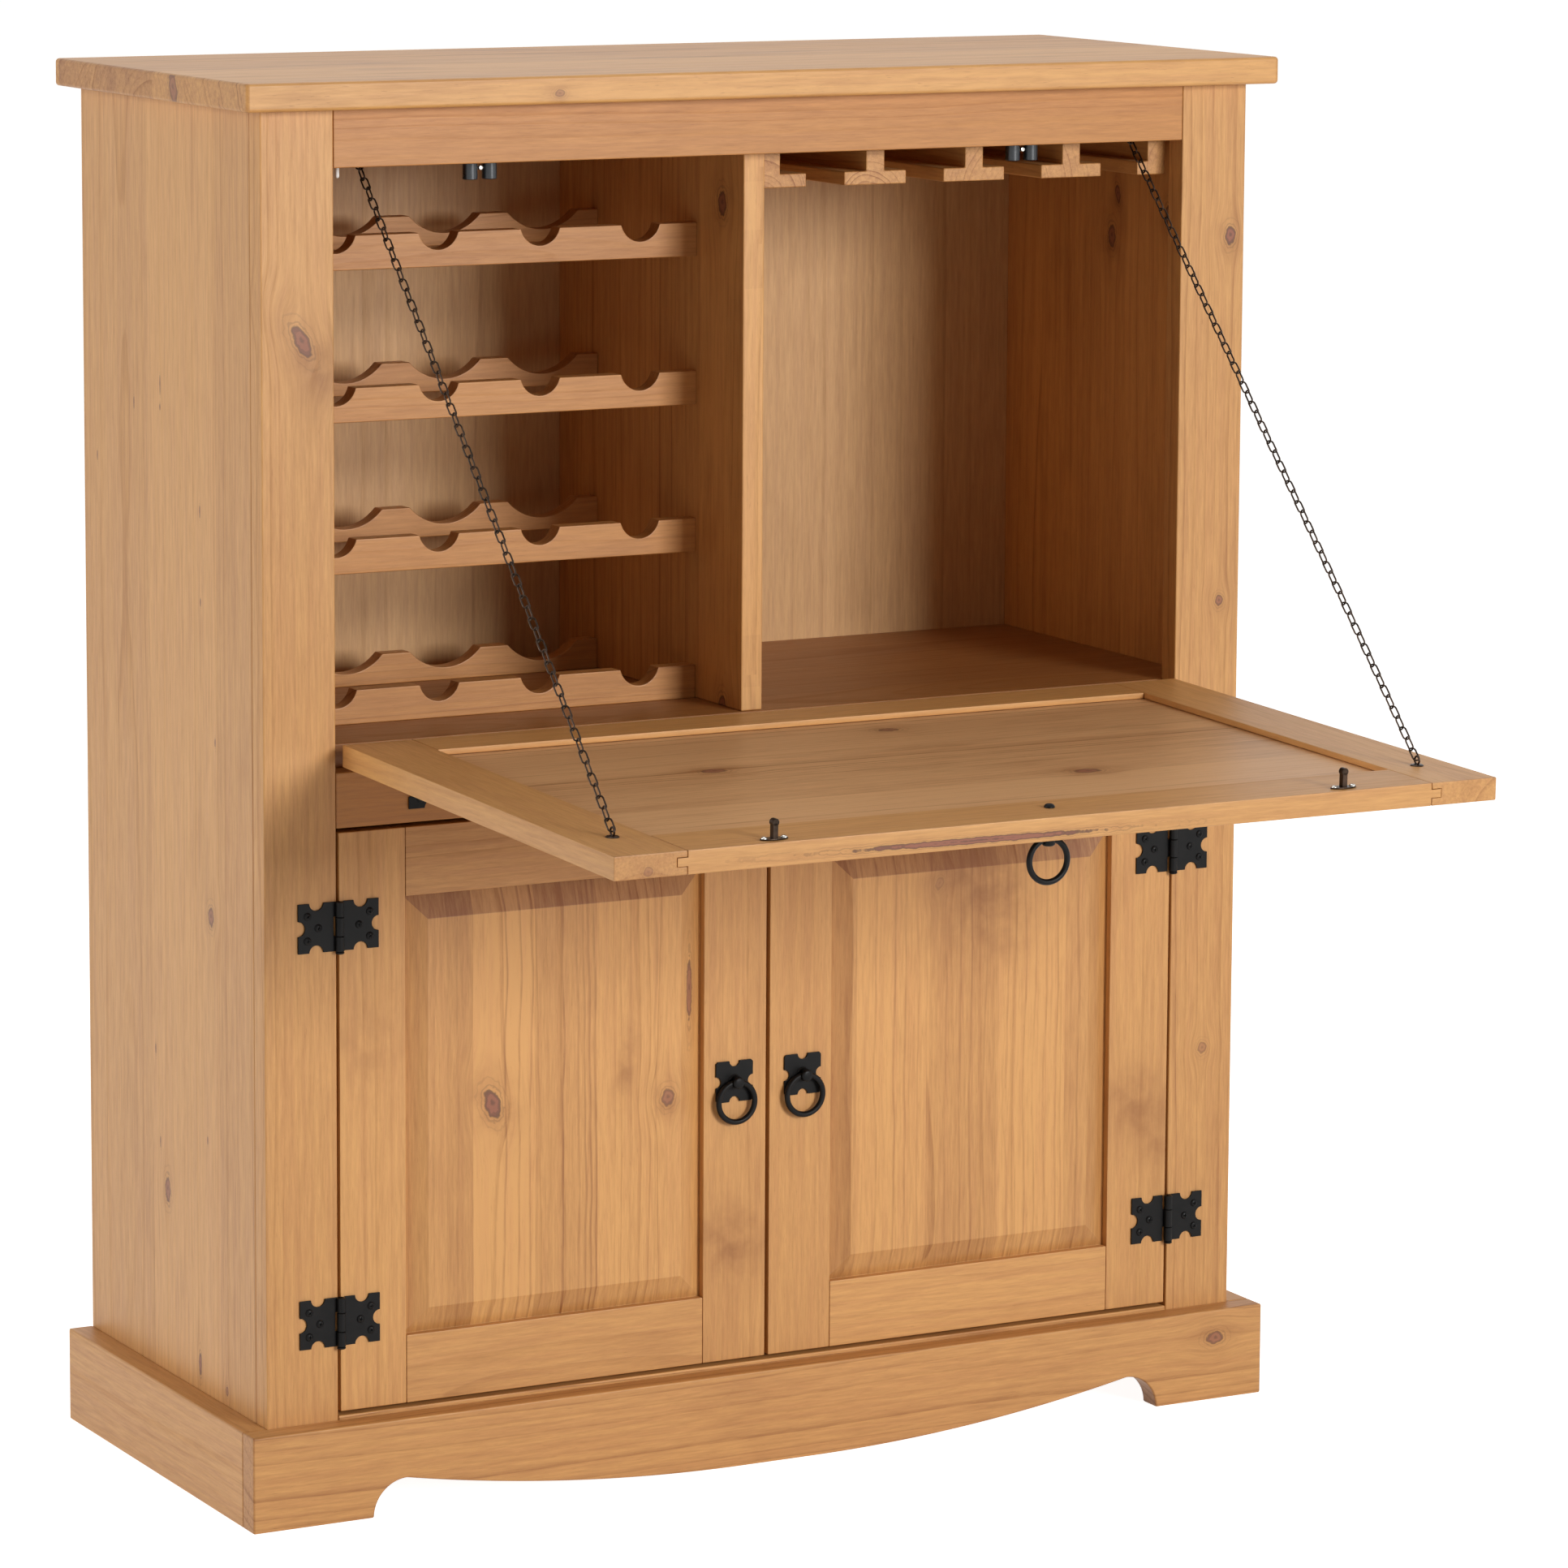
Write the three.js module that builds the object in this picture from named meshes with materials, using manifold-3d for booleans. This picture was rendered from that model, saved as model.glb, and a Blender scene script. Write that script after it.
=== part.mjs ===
// A wine bar cabinet in pine: a cupboard with two panelled doors below, and above it a bar
// compartment with a bottle rack on the left, glass rails on the right and a flap that folds down
// to a worktop on two chains. It is modelled with the doors shut and the flap open.
//
// Lengths are in millimetres. +X runs right along the front, +Y runs into the cabinet and +Z up.
// While it is built, Y is zero on the face frame's front and X on the middle of the cabinet. At the
// end the whole cabinet moves along Y, so that the origin lies on the floor in the middle of the
// space that it takes up with the flap open.
import * as THREE from "three";
import { ConvexGeometry } from "three/addons/geometries/ConvexGeometry.js";
import { mergeVertices } from "three/addons/utils/BufferGeometryUtils.js";
import Module from "manifold-3d";

// The carcass
const bodyWidth = 840;
const bodyDepth = 340;
const cabinetHeight = 1070;
const sideThickness = 18;
const backThickness = 6;
const backInset = 2;
const carcassFloorGap = 5;
const topThickness = 21;
const topSideOverhang = 19;
const topFrontOverhang = 18;
const topBackOverhang = 6;
const topCornerRadius = 4;
const frameThickness = 20;
const stileWidth = 58;
const topRailHeight = 43;
const middleRailHeight = 42;
const middleRailBottom = 520;
const bottomThickness = 18;
const bottomTop = 76;
const barFloorThickness = 18;
const barFloorLap = 2;
const dividerThickness = 18;
const dividerLeftShift = 5;

// The plinth: its front edge sweeps up from the floor at the middle to an arc inside each foot
const plinthHeight = 73;
const plinthThickness = 20;
const footWidth = 78;
const footArcRadius = 27.5;
const bellyFlat = 60;

// The bottle rack: each tier has a bar cut for the necks and, behind it, one cut for the bodies
const tierPitch = 114;
const bottlePitch = 85;
const firstBottleFromDivider = 48.6;
const barThickness = 15;
const neckBarHeight = 26;
const neckBarSetback = 95;
const neckRadius = 16.5;
const neckCentreRise = 3.5;
const bodyBarHeight = 24;
const bodyBarFromBack = 54;
const bottleRadius = 40;
const bottleDip = 14;

// The glass rails hang from the top: stemmed glasses slide in between their lips
const glassRailDrop = 71;
const glassRailSetback = 25;
const glassRailLip = 10.5;
const glassRailStem = 16;
const glassRailOverhang = 19;
const glassSlot = 33;
const dividerRailOverhang = 22.5;
const stileRailOverhang = 9.5;

// Frames and raised panels, for the doors and the flap
const grooveDepth = 8;
const tongueThickness = 6;
const panelClearance = 0.3;
const panelRecess = 5;
const bevelWidth = 19;
const fieldSetback = 1;

// The doors lie flush in the face frame
const doorThickness = 18;
const doorEndGap = 3;
const doorSideGap = 2;
const doorMeetingGap = 3;
const doorStile = 54;
const doorRail = 52;

// The flap turns on the front of the middle rail and hangs on its chains, a little below level
const flapThickness = 17;
const flapEndGap = 2;
const flapSideGap = 3;
const flapStile = 56;
const flapFrontRail = 56;
const flapRearRail = 45;
const flapDroopDegrees = 1.5;

// Fittings stand this far off the wood that they are screwed to
const seatGap = 0.3;
const embed = 0.6;

// Butterfly hinges: two notched leaves and a pin, screwed on over the seam
const leafReach = 32.6;
const leafHeight = 37.2;
const leafThickness = 1.3;
const knuckleRadius = 3.3;
const middleKnuckle = 14;
const knuckleGap = 0.3;
const knuckleRelief = 0.7;
const pinRadius = 1.6;
const pinClearance = 0.2;
const pinTip = 1.8;
const leafNotchRadius = 5.6;
const leafNotchFromEnd = 14.7;
const cornerScrewFromEnd = 7.4;
const cornerScrewSpread = 9.2;
const middleScrewFromEnd = 16.1;
const doorHingeFromEnd = 69.5;
const flapHingeFromEdge = 74;

// Round-headed screws
const screwHeadRadius = 3;
const screwCrownRadius = 1.5;
const screwHeadHeight = 1.5;

// Ring pulls: a notched plate, a post with a hole through it and the ring in that hole
const plateSize = 32;
const plateThickness = 1.5;
const plateNotchRadius = 4.3;
const plateCornerCut = 1.6;
const postRadius = 4.7;
const postCrownRadius = 3.6;
const postCrown = 1.6;
const postLength = 10.5;
const postHoleRadius = 3.3;
const ringRadius = 15.5;
const ringWireRadius = 2.2;
const ringStandoff = 5.4;
const doorPullFromEdge = 28.2;
const flapPullFromEdge = 31;
const boltRadius = 2;
const boltClearance = 0.4;
const boltHeadRadius = 4;
const boltHeadHeight = 2.6;

// Twin roller catches behind the top rail, and the strikes on the flap that snap in between
const catchOffSlotMiddle = 1;
const rollerRadius = 5.6;
const rollerHeight = 15;
const rollerSplit = 4.6;
const rollerPinRadius = 1.4;
const rollerArmGap = 0.7;
const bracketThickness = 1.2;
const bracketHeight = 24;
const bracketReach = 12;
const strikeFromEdge = 9;
const strikeLength = 22;
const strikeWidth = 9;
const strikeThickness = 1;
const strikeScrewFromMiddle = 7.7;
const strikeScrewRadius = 2.4;
const tongueNeck = 4;
const tongueHeadRadius = 3.1;
const tongueWidth = 5;
const tongueClearance = 0.2;
const rollerClearance = 0.4;

// Chains, each with an eye in the top rail's back and one on the flap
const chainFromStile = 32;
const railEyeStandoff = 11;
const railEyeRise = 4.5;
const flapEyeFromEdge = 60;
const flapEyeStandoff = 4;
const eyeRingRadius = 3.6;
const eyeHoleRadius = 2.2;
const eyeThickness = 1.6;
const eyeShankRadius = 1.4;
const eyeFlangeRadius = 5;
const eyeFlangeThickness = 1.2;
const linkPitch = 9.5;
const linkWidth = 6.6;
const linkWire = 1.3;
const linkBite = 0.1;
const elbowGap = 0.3;

// Levels and edges that follow from those
const halfBody = bodyWidth / 2;
const insideHalf = halfBody - sideThickness;
const openingHalf = halfBody - stileWidth;
const topUnderside = cabinetHeight - topThickness;
const topRailBottom = topUnderside - topRailHeight;
const middleRailTop = middleRailBottom + middleRailHeight;
const barFloorTop = middleRailTop + barFloorThickness;
const backRear = bodyDepth - backInset;
const backFront = backRear - backThickness;
const dividerLeft = -dividerThickness / 2 - dividerLeftShift;
const dividerRight = dividerLeft + dividerThickness;
const tierCount = Math.floor((topUnderside - barFloorTop) / tierPitch);
const rackSpan = insideHalf + dividerLeft - firstBottleFromDivider - bottleRadius;
const bottleCount = Math.floor(rackSpan / bottlePitch) + 1;
const glassRailPitch = glassRailStem + glassRailOverhang * 2 + glassSlot;
const firstSlotLeft = dividerRight + glassRailStem + dividerRailOverhang;
const lastRailStem = openingHalf - glassRailStem;
const lastLipEnd = lastRailStem - stileRailOverhang;
const middleRailCount = Math.floor((lastLipEnd - firstSlotLeft - glassSlot) / glassRailPitch);
const catchSlotLeft = firstSlotLeft + (middleRailCount - 1) * glassRailPitch;
const catchFromMiddle = catchSlotLeft + glassSlot / 2 - catchOffSlotMiddle;
const bodyBarSetback = backFront - bodyBarFromBack - barThickness;
const hingeStandoff = knuckleRadius + seatGap;
const flapWidth = (openingHalf - flapSideGap) * 2;
const flapLength = topRailBottom - middleRailTop - flapEndGap * 2;
const flapHingeFromMiddle = flapWidth / 2 - flapHingeFromEdge;
const chainFromMiddle = openingHalf - chainFromStile;
const flapOpening = THREE.MathUtils.degToRad(flapDroopDegrees) + Math.PI / 2;
const doorWidth = openingHalf - doorSideGap - doorMeetingGap / 2;
const doorHeight = middleRailBottom - bottomTop - doorEndGap * 2;

const sides = [
  ["left", -1],
  ["right", 1],
];
const roundSides = 8;
const smallSides = 6;
const ringSteps = 20;
const arcSteps = 3;
const sweepSteps = 8;
const mergeTolerance = 1e-3;

const pine = new THREE.MeshStandardMaterial({ color: 0xc8935a, roughness: 0.45, metalness: 0 });
const blackIron = new THREE.MeshStandardMaterial({ color: 0x26262a, roughness: 0.5, metalness: 0.8 });
const zincSteel = new THREE.MeshStandardMaterial({ color: 0x6d6a66, roughness: 0.4, metalness: 0.9 });

const wasm = await Module();
wasm.setup();

const cabinet = new THREE.Group();

// A closed geometry as a solid that can be joined and cut.
function solidOf(geometry) {
  const bare = geometry.clone();
  bare.deleteAttribute("normal");
  bare.deleteAttribute("uv");
  const merged = mergeVertices(bare, mergeTolerance);
  return new wasm.Manifold(
    new wasm.Mesh({
      numProp: 3,
      vertProperties: merged.attributes.position.array,
      triVerts: new Uint32Array(merged.index.array),
    }),
  );
}

function geometryOf(solid) {
  const mesh = solid.getMesh();
  const geometry = new THREE.BufferGeometry();
  geometry.setAttribute("position", new THREE.BufferAttribute(mesh.vertProperties, 3));
  geometry.setIndex(new THREE.BufferAttribute(mesh.triVerts, 1));
  geometry.computeVertexNormals();
  return geometry;
}

function join(...pieces) {
  return geometryOf(pieces.map(solidOf).reduce((whole, piece) => whole.add(piece)));
}

function cut(base, ...tools) {
  return geometryOf(tools.map(solidOf).reduce((left, tool) => left.subtract(tool), solidOf(base)));
}

function add(name, geometry, material, parent = cabinet) {
  const mesh = new THREE.Mesh(geometry, material);
  mesh.name = name;
  parent.add(mesh);
  return mesh;
}

// A board between two corners.
function board(x0, x1, y0, y1, z0, z1) {
  const box = new THREE.BoxGeometry(x1 - x0, y1 - y0, z1 - z0);
  return box.translate((x0 + x1) / 2, (y0 + y1) / 2, (z0 + z1) / 2);
}

function extrude(outline, length, steps) {
  return new THREE.ExtrudeGeometry(outline, {
    depth: length,
    bevelEnabled: false,
    curveSegments: steps,
  });
}

// An outline drawn in X and Z, extruded along Y.
function prismY(outline, y0, y1, steps = arcSteps) {
  return extrude(outline, y1 - y0, steps).rotateX(Math.PI / 2).translate(0, y1, 0);
}

// An outline drawn in Y and Z, extruded along X.
function prismX(outline, x0, x1, steps = arcSteps) {
  const turned = extrude(outline, x1 - x0, steps).rotateY(Math.PI / 2).rotateX(Math.PI / 2);
  return turned.translate(x0, 0, 0);
}

// An outline drawn in X and Y, extruded along Z.
function prismZ(outline, z0, z1, steps = arcSteps) {
  return extrude(outline, z1 - z0, steps).translate(0, 0, z0);
}

// Cylinders and cones along each axis, from a start to an end; the radii are at those ends.
function rodZ(z0, z1, radius0, radius1 = radius0, count = roundSides) {
  const rod = new THREE.CylinderGeometry(radius1, radius0, z1 - z0, count);
  return rod.rotateX(Math.PI / 2).translate(0, 0, (z0 + z1) / 2);
}

function rodY(y0, y1, radius0, radius1 = radius0, count = roundSides) {
  const rod = new THREE.CylinderGeometry(radius1, radius0, y1 - y0, count);
  return rod.translate(0, (y0 + y1) / 2, 0);
}

function rodX(x0, x1, radius, count = roundSides) {
  const rod = new THREE.CylinderGeometry(radius, radius, x1 - x0, count);
  return rod.rotateZ(-Math.PI / 2).translate((x0 + x1) / 2, 0, 0);
}

function polygon(points) {
  return new THREE.Shape(points.map(([across, up]) => new THREE.Vector2(across, up)));
}

// The top panel, with its corners rounded.
function topPanel() {
  const half = halfBody + topSideOverhang;
  const front = -topFrontOverhang;
  const back = bodyDepth + topBackOverhang;
  const r = topCornerRadius;
  const outline = new THREE.Shape();
  outline.absarc(half - r, front + r, r, -Math.PI / 2, 0);
  outline.absarc(half - r, back - r, r, 0, Math.PI / 2);
  outline.absarc(-half + r, back - r, r, Math.PI / 2, Math.PI);
  outline.absarc(-half + r, front + r, r, Math.PI, Math.PI * 1.5);
  return prismZ(outline, topUnderside, cabinetHeight);
}

// A level board between the sides, whose front reaches further forward between the stiles.
function levelBoard(front, z0, z1) {
  const outline = polygon([
    [-insideHalf, backFront],
    [-insideHalf, frameThickness],
    [-openingHalf, frameThickness],
    [-openingHalf, front],
    [openingHalf, front],
    [openingHalf, frameThickness],
    [insideHalf, frameThickness],
    [insideHalf, backFront],
  ]);
  return prismZ(outline, z0, z1);
}

function plinthFront() {
  const half = halfBody + plinthThickness;
  const archStart = half - footWidth;
  const archTop = archStart - footArcRadius;
  const flat = bellyFlat / 2;
  const run = archTop - flat;
  const sweepRadius = (run ** 2 + footArcRadius ** 2) / (footArcRadius * 2);
  const sweep = Math.asin(run / sweepRadius);
  const down = -Math.PI / 2;
  const outline = new THREE.Shape();
  outline.moveTo(-half, plinthHeight);
  outline.lineTo(-half, 0);
  outline.absarc(-archTop, 0, footArcRadius, Math.PI, Math.PI / 2, true);
  outline.absarc(-flat, sweepRadius, sweepRadius, down - sweep, down);
  outline.absarc(flat, sweepRadius, sweepRadius, down, down + sweep);
  outline.absarc(archTop, 0, footArcRadius, Math.PI / 2, 0, true);
  outline.lineTo(half, 0);
  outline.lineTo(half, plinthHeight);
  return prismY(outline, -plinthThickness, 0, sweepSteps);
}

// An eye that stands along +Y on the wood at y, with the hole of its ring across the cabinet.
function chainEye(x, y, z, standoff) {
  const outline = new THREE.Shape();
  outline.absarc(0, 0, eyeRingRadius, 0, Math.PI * 2);
  const hole = new THREE.Path();
  hole.absarc(0, 0, eyeHoleRadius, 0, Math.PI * 2, true);
  outline.holes.push(hole);
  const ring = prismX(outline, -eyeThickness / 2, eyeThickness / 2).translate(0, standoff, 0);
  const ringFoot = standoff - (eyeRingRadius + eyeHoleRadius) / 2;
  const shank = rodY(-embed, ringFoot, eyeShankRadius, eyeShankRadius, smallSides);
  const flange = rodY(-embed, eyeFlangeThickness, eyeFlangeRadius, eyeFlangeRadius, smallSides);
  return join(ring, shank, flange).translate(x, y, z);
}

// Where the chains' eyes are: on the top rail's back, and on the flap as it is measured shut.
const railEye = new THREE.Vector3(
  chainFromMiddle,
  frameThickness + railEyeStandoff,
  topRailBottom + railEyeRise,
);
const flapEye = new THREE.Vector3(
  chainFromMiddle,
  hingeStandoff + flapThickness + flapEyeStandoff,
  flapEndGap / 2 + flapLength - flapEyeFromEdge,
);

function carcass() {
  add("top_panel", topPanel(), pine);
  for (const [side, sign] of sides) {
    const [sideLow, sideHigh] = [sign * insideHalf, sign * halfBody].sort((a, b) => a - b);
    const [stileLow, stileHigh] = [sign * openingHalf, sign * halfBody].sort((a, b) => a - b);
    const panel = board(sideLow, sideHigh, frameThickness, bodyDepth, carcassFloorGap, topUnderside);
    const stile = board(stileLow, stileHigh, 0, frameThickness, carcassFloorGap, topUnderside);
    add(`${side}_side_panel`, panel, pine);
    add(`${side}_front_stile`, stile, pine);
  }
  const topRail = board(-openingHalf, openingHalf, 0, frameThickness, topRailBottom, topUnderside);
  const eyes = sides.map(([, sign]) =>
    chainEye(sign * railEye.x, frameThickness, railEye.z, railEyeStandoff),
  );
  add("top_front_rail", join(topRail, ...eyes), pine);
  add(
    "middle_front_rail",
    board(-openingHalf, openingHalf, 0, frameThickness, middleRailBottom, middleRailTop),
    pine,
  );
  add("bottom_panel", levelBoard(0, bottomTop - bottomThickness, bottomTop), pine);
  add("bar_floor", levelBoard(frameThickness - barFloorLap, middleRailTop, barFloorTop), pine);
  add(
    "back_panel",
    board(-insideHalf, insideHalf, backFront, backRear, bottomTop - bottomThickness, topUnderside),
    pine,
  );
  add(
    "centre_divider",
    board(dividerLeft, dividerRight, frameThickness, backFront, barFloorTop, topUnderside),
    pine,
  );
}

function plinth() {
  add("plinth_front", plinthFront(), pine);
  for (const [side, sign] of sides) {
    const inner = sign * halfBody;
    const outer = sign * (halfBody + plinthThickness);
    const low = Math.min(inner, outer);
    const high = Math.max(inner, outer);
    add(`plinth_${side}`, board(low, high, 0, bodyDepth, 0, plinthHeight), pine);
  }
}

// A rack bar whose top is notched by a circle over each bottle; rise is its centre's height over the top.
function rackBar(bottom, height, setback, radius, rise) {
  const top = bottom + height;
  const half = Math.acos(rise / radius);
  const down = -Math.PI / 2;
  const outline = new THREE.Shape();
  outline.moveTo(-insideHalf, bottom);
  outline.lineTo(dividerLeft, bottom);
  outline.lineTo(dividerLeft, top);
  for (let bottle = 0; bottle < bottleCount; bottle++) {
    const x = dividerLeft - firstBottleFromDivider - bottle * bottlePitch;
    outline.absarc(x, top + rise, radius, down + half, down - half, true);
  }
  outline.lineTo(-insideHalf, top);
  return prismY(outline, setback, setback + barThickness);
}

function bottleRack() {
  for (let tier = 0; tier < tierCount; tier++) {
    const bottom = barFloorTop + tier * tierPitch;
    const necks = rackBar(bottom, neckBarHeight, neckBarSetback, neckRadius, neckCentreRise);
    const bodies = rackBar(
      bottom,
      bodyBarHeight,
      bodyBarSetback,
      bottleRadius,
      bottleRadius - bottleDip,
    );
    add(`neck_bar_${tier + 1}`, necks, pine);
    add(`bottle_bar_${tier + 1}`, bodies, pine);
  }
}

// A glass rail: a stem from x0 to x1 with a lip that reaches past it on each side.
function glassRail(x0, x1, leftLip, rightLip) {
  const low = topUnderside - glassRailDrop;
  const shoulder = low + glassRailLip;
  const outline = polygon([
    [x0 - leftLip, low],
    [x1 + rightLip, low],
    ...(rightLip ? [[x1 + rightLip, shoulder]] : []),
    ...(rightLip ? [[x1, shoulder]] : []),
    [x1, topUnderside],
    [x0, topUnderside],
    ...(leftLip ? [[x0, shoulder]] : []),
    ...(leftLip ? [[x0 - leftLip, shoulder]] : []),
  ]);
  return prismY(outline, glassRailSetback, backFront);
}

function glassRails() {
  const first = glassRail(dividerRight, dividerRight + glassRailStem, 0, dividerRailOverhang);
  add("glass_rail_1", first, pine);
  for (let i = 0; i < middleRailCount; i++) {
    const stem = firstSlotLeft + glassSlot + glassRailOverhang + i * glassRailPitch;
    const rail = glassRail(stem, stem + glassRailStem, glassRailOverhang, glassRailOverhang);
    add(`glass_rail_${i + 2}`, rail, pine);
  }
  const last = glassRail(lastRailStem, openingHalf, stileRailOverhang, 0);
  add(`glass_rail_${middleRailCount + 2}`, last, pine);
}

// A frame with a raised panel held in its grooves. The outer face is at y = 0 and the foot at z = 0.
function framedLeaf(width, height, thickness, stile, bottomRail, topRail) {
  const half = width / 2;
  const openHalf = half - stile;
  const openLow = bottomRail;
  const openHigh = height - topRail;
  const back = thickness - panelRecess;
  const tongueFront = back - tongueThickness;
  const c = panelClearance;
  const opening = board(-openHalf, openHalf, -thickness, thickness * 2, openLow, openHigh);
  const groove = board(
    -openHalf - grooveDepth,
    openHalf + grooveDepth,
    tongueFront - c,
    back + c,
    openLow - grooveDepth,
    openHigh + grooveDepth,
  );
  const frame = cut(board(-half, half, 0, thickness, 0, height), opening, groove);
  const reach = grooveDepth - c;
  const tongue = board(
    -openHalf - reach,
    openHalf + reach,
    tongueFront,
    back,
    openLow - reach,
    openHigh + reach,
  );
  const corners = [];
  for (const [inset, y] of [
    [c, back],
    [c, tongueFront],
    [bevelWidth, fieldSetback],
  ]) {
    for (const x of [-openHalf + inset, openHalf - inset]) {
      for (const z of [openLow + inset, openHigh - inset]) {
        corners.push(new THREE.Vector3(x, y, z));
      }
    }
  }
  return [frame, join(tongue, new ConvexGeometry(corners))];
}

// A screw head on a face at y, standing towards -Y.
function screwHead(x, y, z, radius = screwHeadRadius) {
  const crown = (screwCrownRadius / screwHeadRadius) * radius;
  const head = rodY(-screwHeadHeight, embed, crown, radius, smallSides);
  return head.translate(x, y, z);
}

// One leaf of a butterfly hinge. The pin's axis is Z, the leaf reaches along +X and the wood
// that it is screwed to lies at +Y. The pin belongs to the leaf with the middle knuckle.
function hingeLeaf(hasMiddleKnuckle, tipSign) {
  const half = leafHeight / 2;
  const r = leafNotchRadius;
  const notchX = leafReach - leafNotchFromEnd;
  const outline = new THREE.Shape();
  outline.moveTo(0, half);
  outline.lineTo(0, -half);
  outline.absarc(notchX, -half, r, Math.PI, 0, true);
  outline.lineTo(leafReach, -half);
  outline.absarc(leafReach, 0, r, -Math.PI / 2, Math.PI / 2, true);
  outline.lineTo(leafReach, half);
  outline.absarc(notchX, half, r, 0, Math.PI, true);
  const face = knuckleRadius - leafThickness;
  const plate = prismY(outline, face, knuckleRadius);
  const screws = [
    screwHead(leafReach - cornerScrewFromEnd, face, cornerScrewSpread),
    screwHead(leafReach - cornerScrewFromEnd, face, -cornerScrewSpread),
    screwHead(leafReach - middleScrewFromEnd, face, 0),
  ];
  const middle = middleKnuckle / 2;
  const relief = knuckleRadius + knuckleRelief;
  if (hasMiddleKnuckle) {
    const knuckle = rodZ(-middle, middle, knuckleRadius);
    const pin = rodZ(-half, half, pinRadius, pinRadius, smallSides);
    const tipFoot = half + knuckleGap;
    const [tipLow, tipHigh] = [tipSign * tipFoot, tipSign * (tipFoot + pinTip)].sort((a, b) => a - b);
    const tip = join(
      rodZ(tipLow, tipHigh, knuckleRadius),
      rodZ(...[0, tipSign * (tipFoot + embed)].sort((a, b) => a - b), pinRadius, pinRadius, smallSides),
    );
    const clear = [-1, 1].map((sign) => {
      const inner = sign * middle;
      const outer = sign * (half + knuckleGap);
      return board(-relief, relief, -knuckleRadius, relief, Math.min(inner, outer), Math.max(inner, outer));
    });
    return join(cut(join(plate, ...screws), ...clear), knuckle, pin, tip);
  }
  const clear = board(
    -relief,
    relief,
    -knuckleRadius,
    relief,
    -middle - knuckleGap,
    middle + knuckleGap,
  );
  const knuckles = [
    rodZ(-half, -middle - knuckleGap, knuckleRadius),
    rodZ(middle + knuckleGap, half, knuckleRadius),
  ];
  const boreRadius = (pinRadius + pinClearance) / Math.cos(Math.PI / smallSides);
  const bore = rodZ(-leafHeight, leafHeight, boreRadius, boreRadius, smallSides);
  return cut(join(cut(join(plate, ...screws), clear), ...knuckles), bore);
}

// The plate and post of a ring pull, on a face at y = 0 and standing towards -Y. The post runs on
// through the wood as a bolt, whose head shows on the other face.
function pullPlate(woodThickness) {
  const half = plateSize / 2;
  const cutOff = half - plateCornerCut;
  const r = plateNotchRadius;
  const outline = new THREE.Shape();
  outline.moveTo(-half, -cutOff);
  outline.lineTo(-cutOff, -half);
  outline.absarc(0, -half, r, Math.PI, 0, true);
  outline.lineTo(cutOff, -half);
  outline.lineTo(half, -cutOff);
  outline.absarc(half, 0, r, -Math.PI / 2, Math.PI / 2, true);
  outline.lineTo(half, cutOff);
  outline.lineTo(cutOff, half);
  outline.absarc(0, half, r, 0, Math.PI, true);
  outline.lineTo(-cutOff, half);
  outline.lineTo(-half, cutOff);
  outline.absarc(-half, 0, r, Math.PI / 2, -Math.PI / 2, true);
  const plate = prismY(outline, -seatGap - plateThickness, -seatGap);
  const shoulder = postLength - postCrown;
  const post = rodY(-shoulder, -seatGap - plateThickness / 2, postRadius);
  const crown = rodY(-postLength, -shoulder, postCrownRadius, postRadius);
  const hole = rodX(-plateSize, plateSize, postHoleRadius).translate(0, -ringStandoff, 0);
  const far = woodThickness + seatGap;
  const bolt = rodY(-seatGap - embed, far + embed, boltRadius, boltRadius, smallSides);
  const head = rodY(far, far + boltHeadHeight, boltHeadRadius, boltHeadRadius / 2);
  return join(cut(join(plate, post, crown), hole), bolt, head);
}

// A frame with the hole for a pull's bolt through it.
function drilled(frame, x, z) {
  const drill = rodY(-doorThickness, doorThickness * 2, boltRadius + boltClearance);
  return cut(frame, drill.translate(x, 0, z));
}

// A ring that hangs below the axis through the middle of its wire's top.
function pullRing() {
  const ring = new THREE.TorusGeometry(ringRadius, ringWireRadius, smallSides, ringSteps);
  return ring.rotateX(Math.PI / 2).translate(0, 0, -ringRadius);
}

function doors() {
  const foot = bottomTop + doorEndGap;
  const seam = openingHalf - doorSideGap / 2;
  for (const [side, sign] of sides) {
    const middle = sign * (doorMeetingGap / 2 + doorWidth / 2);
    const [frame, panel] = framedLeaf(
      doorWidth,
      doorHeight,
      doorThickness,
      doorStile,
      doorRail,
      doorRail,
    );
    const pullX = sign * (doorMeetingGap / 2 + doorPullFromEdge);
    const pullHeight = doorHeight / 2;
    const bored = drilled(frame, pullX - middle, pullHeight);
    add(`${side}_door_frame`, bored.translate(middle, 0, foot), pine);
    add(`${side}_door_panel`, panel.translate(middle, 0, foot), pine);
    for (const [level, height] of [
      ["top", foot + doorHeight - doorHingeFromEnd],
      ["bottom", foot + doorHingeFromEnd],
    ]) {
      const frameLeaf = hingeLeaf(false, -1);
      const doorLeaf = hingeLeaf(true, sign);
      const turned = sign < 0 ? frameLeaf : doorLeaf;
      turned.rotateY(Math.PI);
      for (const [part, leaf] of [
        ["frame_leaf", frameLeaf],
        ["door_leaf", doorLeaf],
      ]) {
        leaf.translate(sign * seam, -hingeStandoff, height);
        add(`${side}_door_${level}_${part}`, leaf, blackIron);
      }
    }
    const pull = new THREE.Group();
    pull.position.set(pullX, 0, foot + pullHeight);
    cabinet.add(pull);
    add(`${side}_door_pull_plate`, pullPlate(doorThickness), blackIron, pull);
    add(`${side}_door_pull_ring`, pullRing().translate(0, -ringStandoff, 0), blackIron, pull);
  }
}

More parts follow.
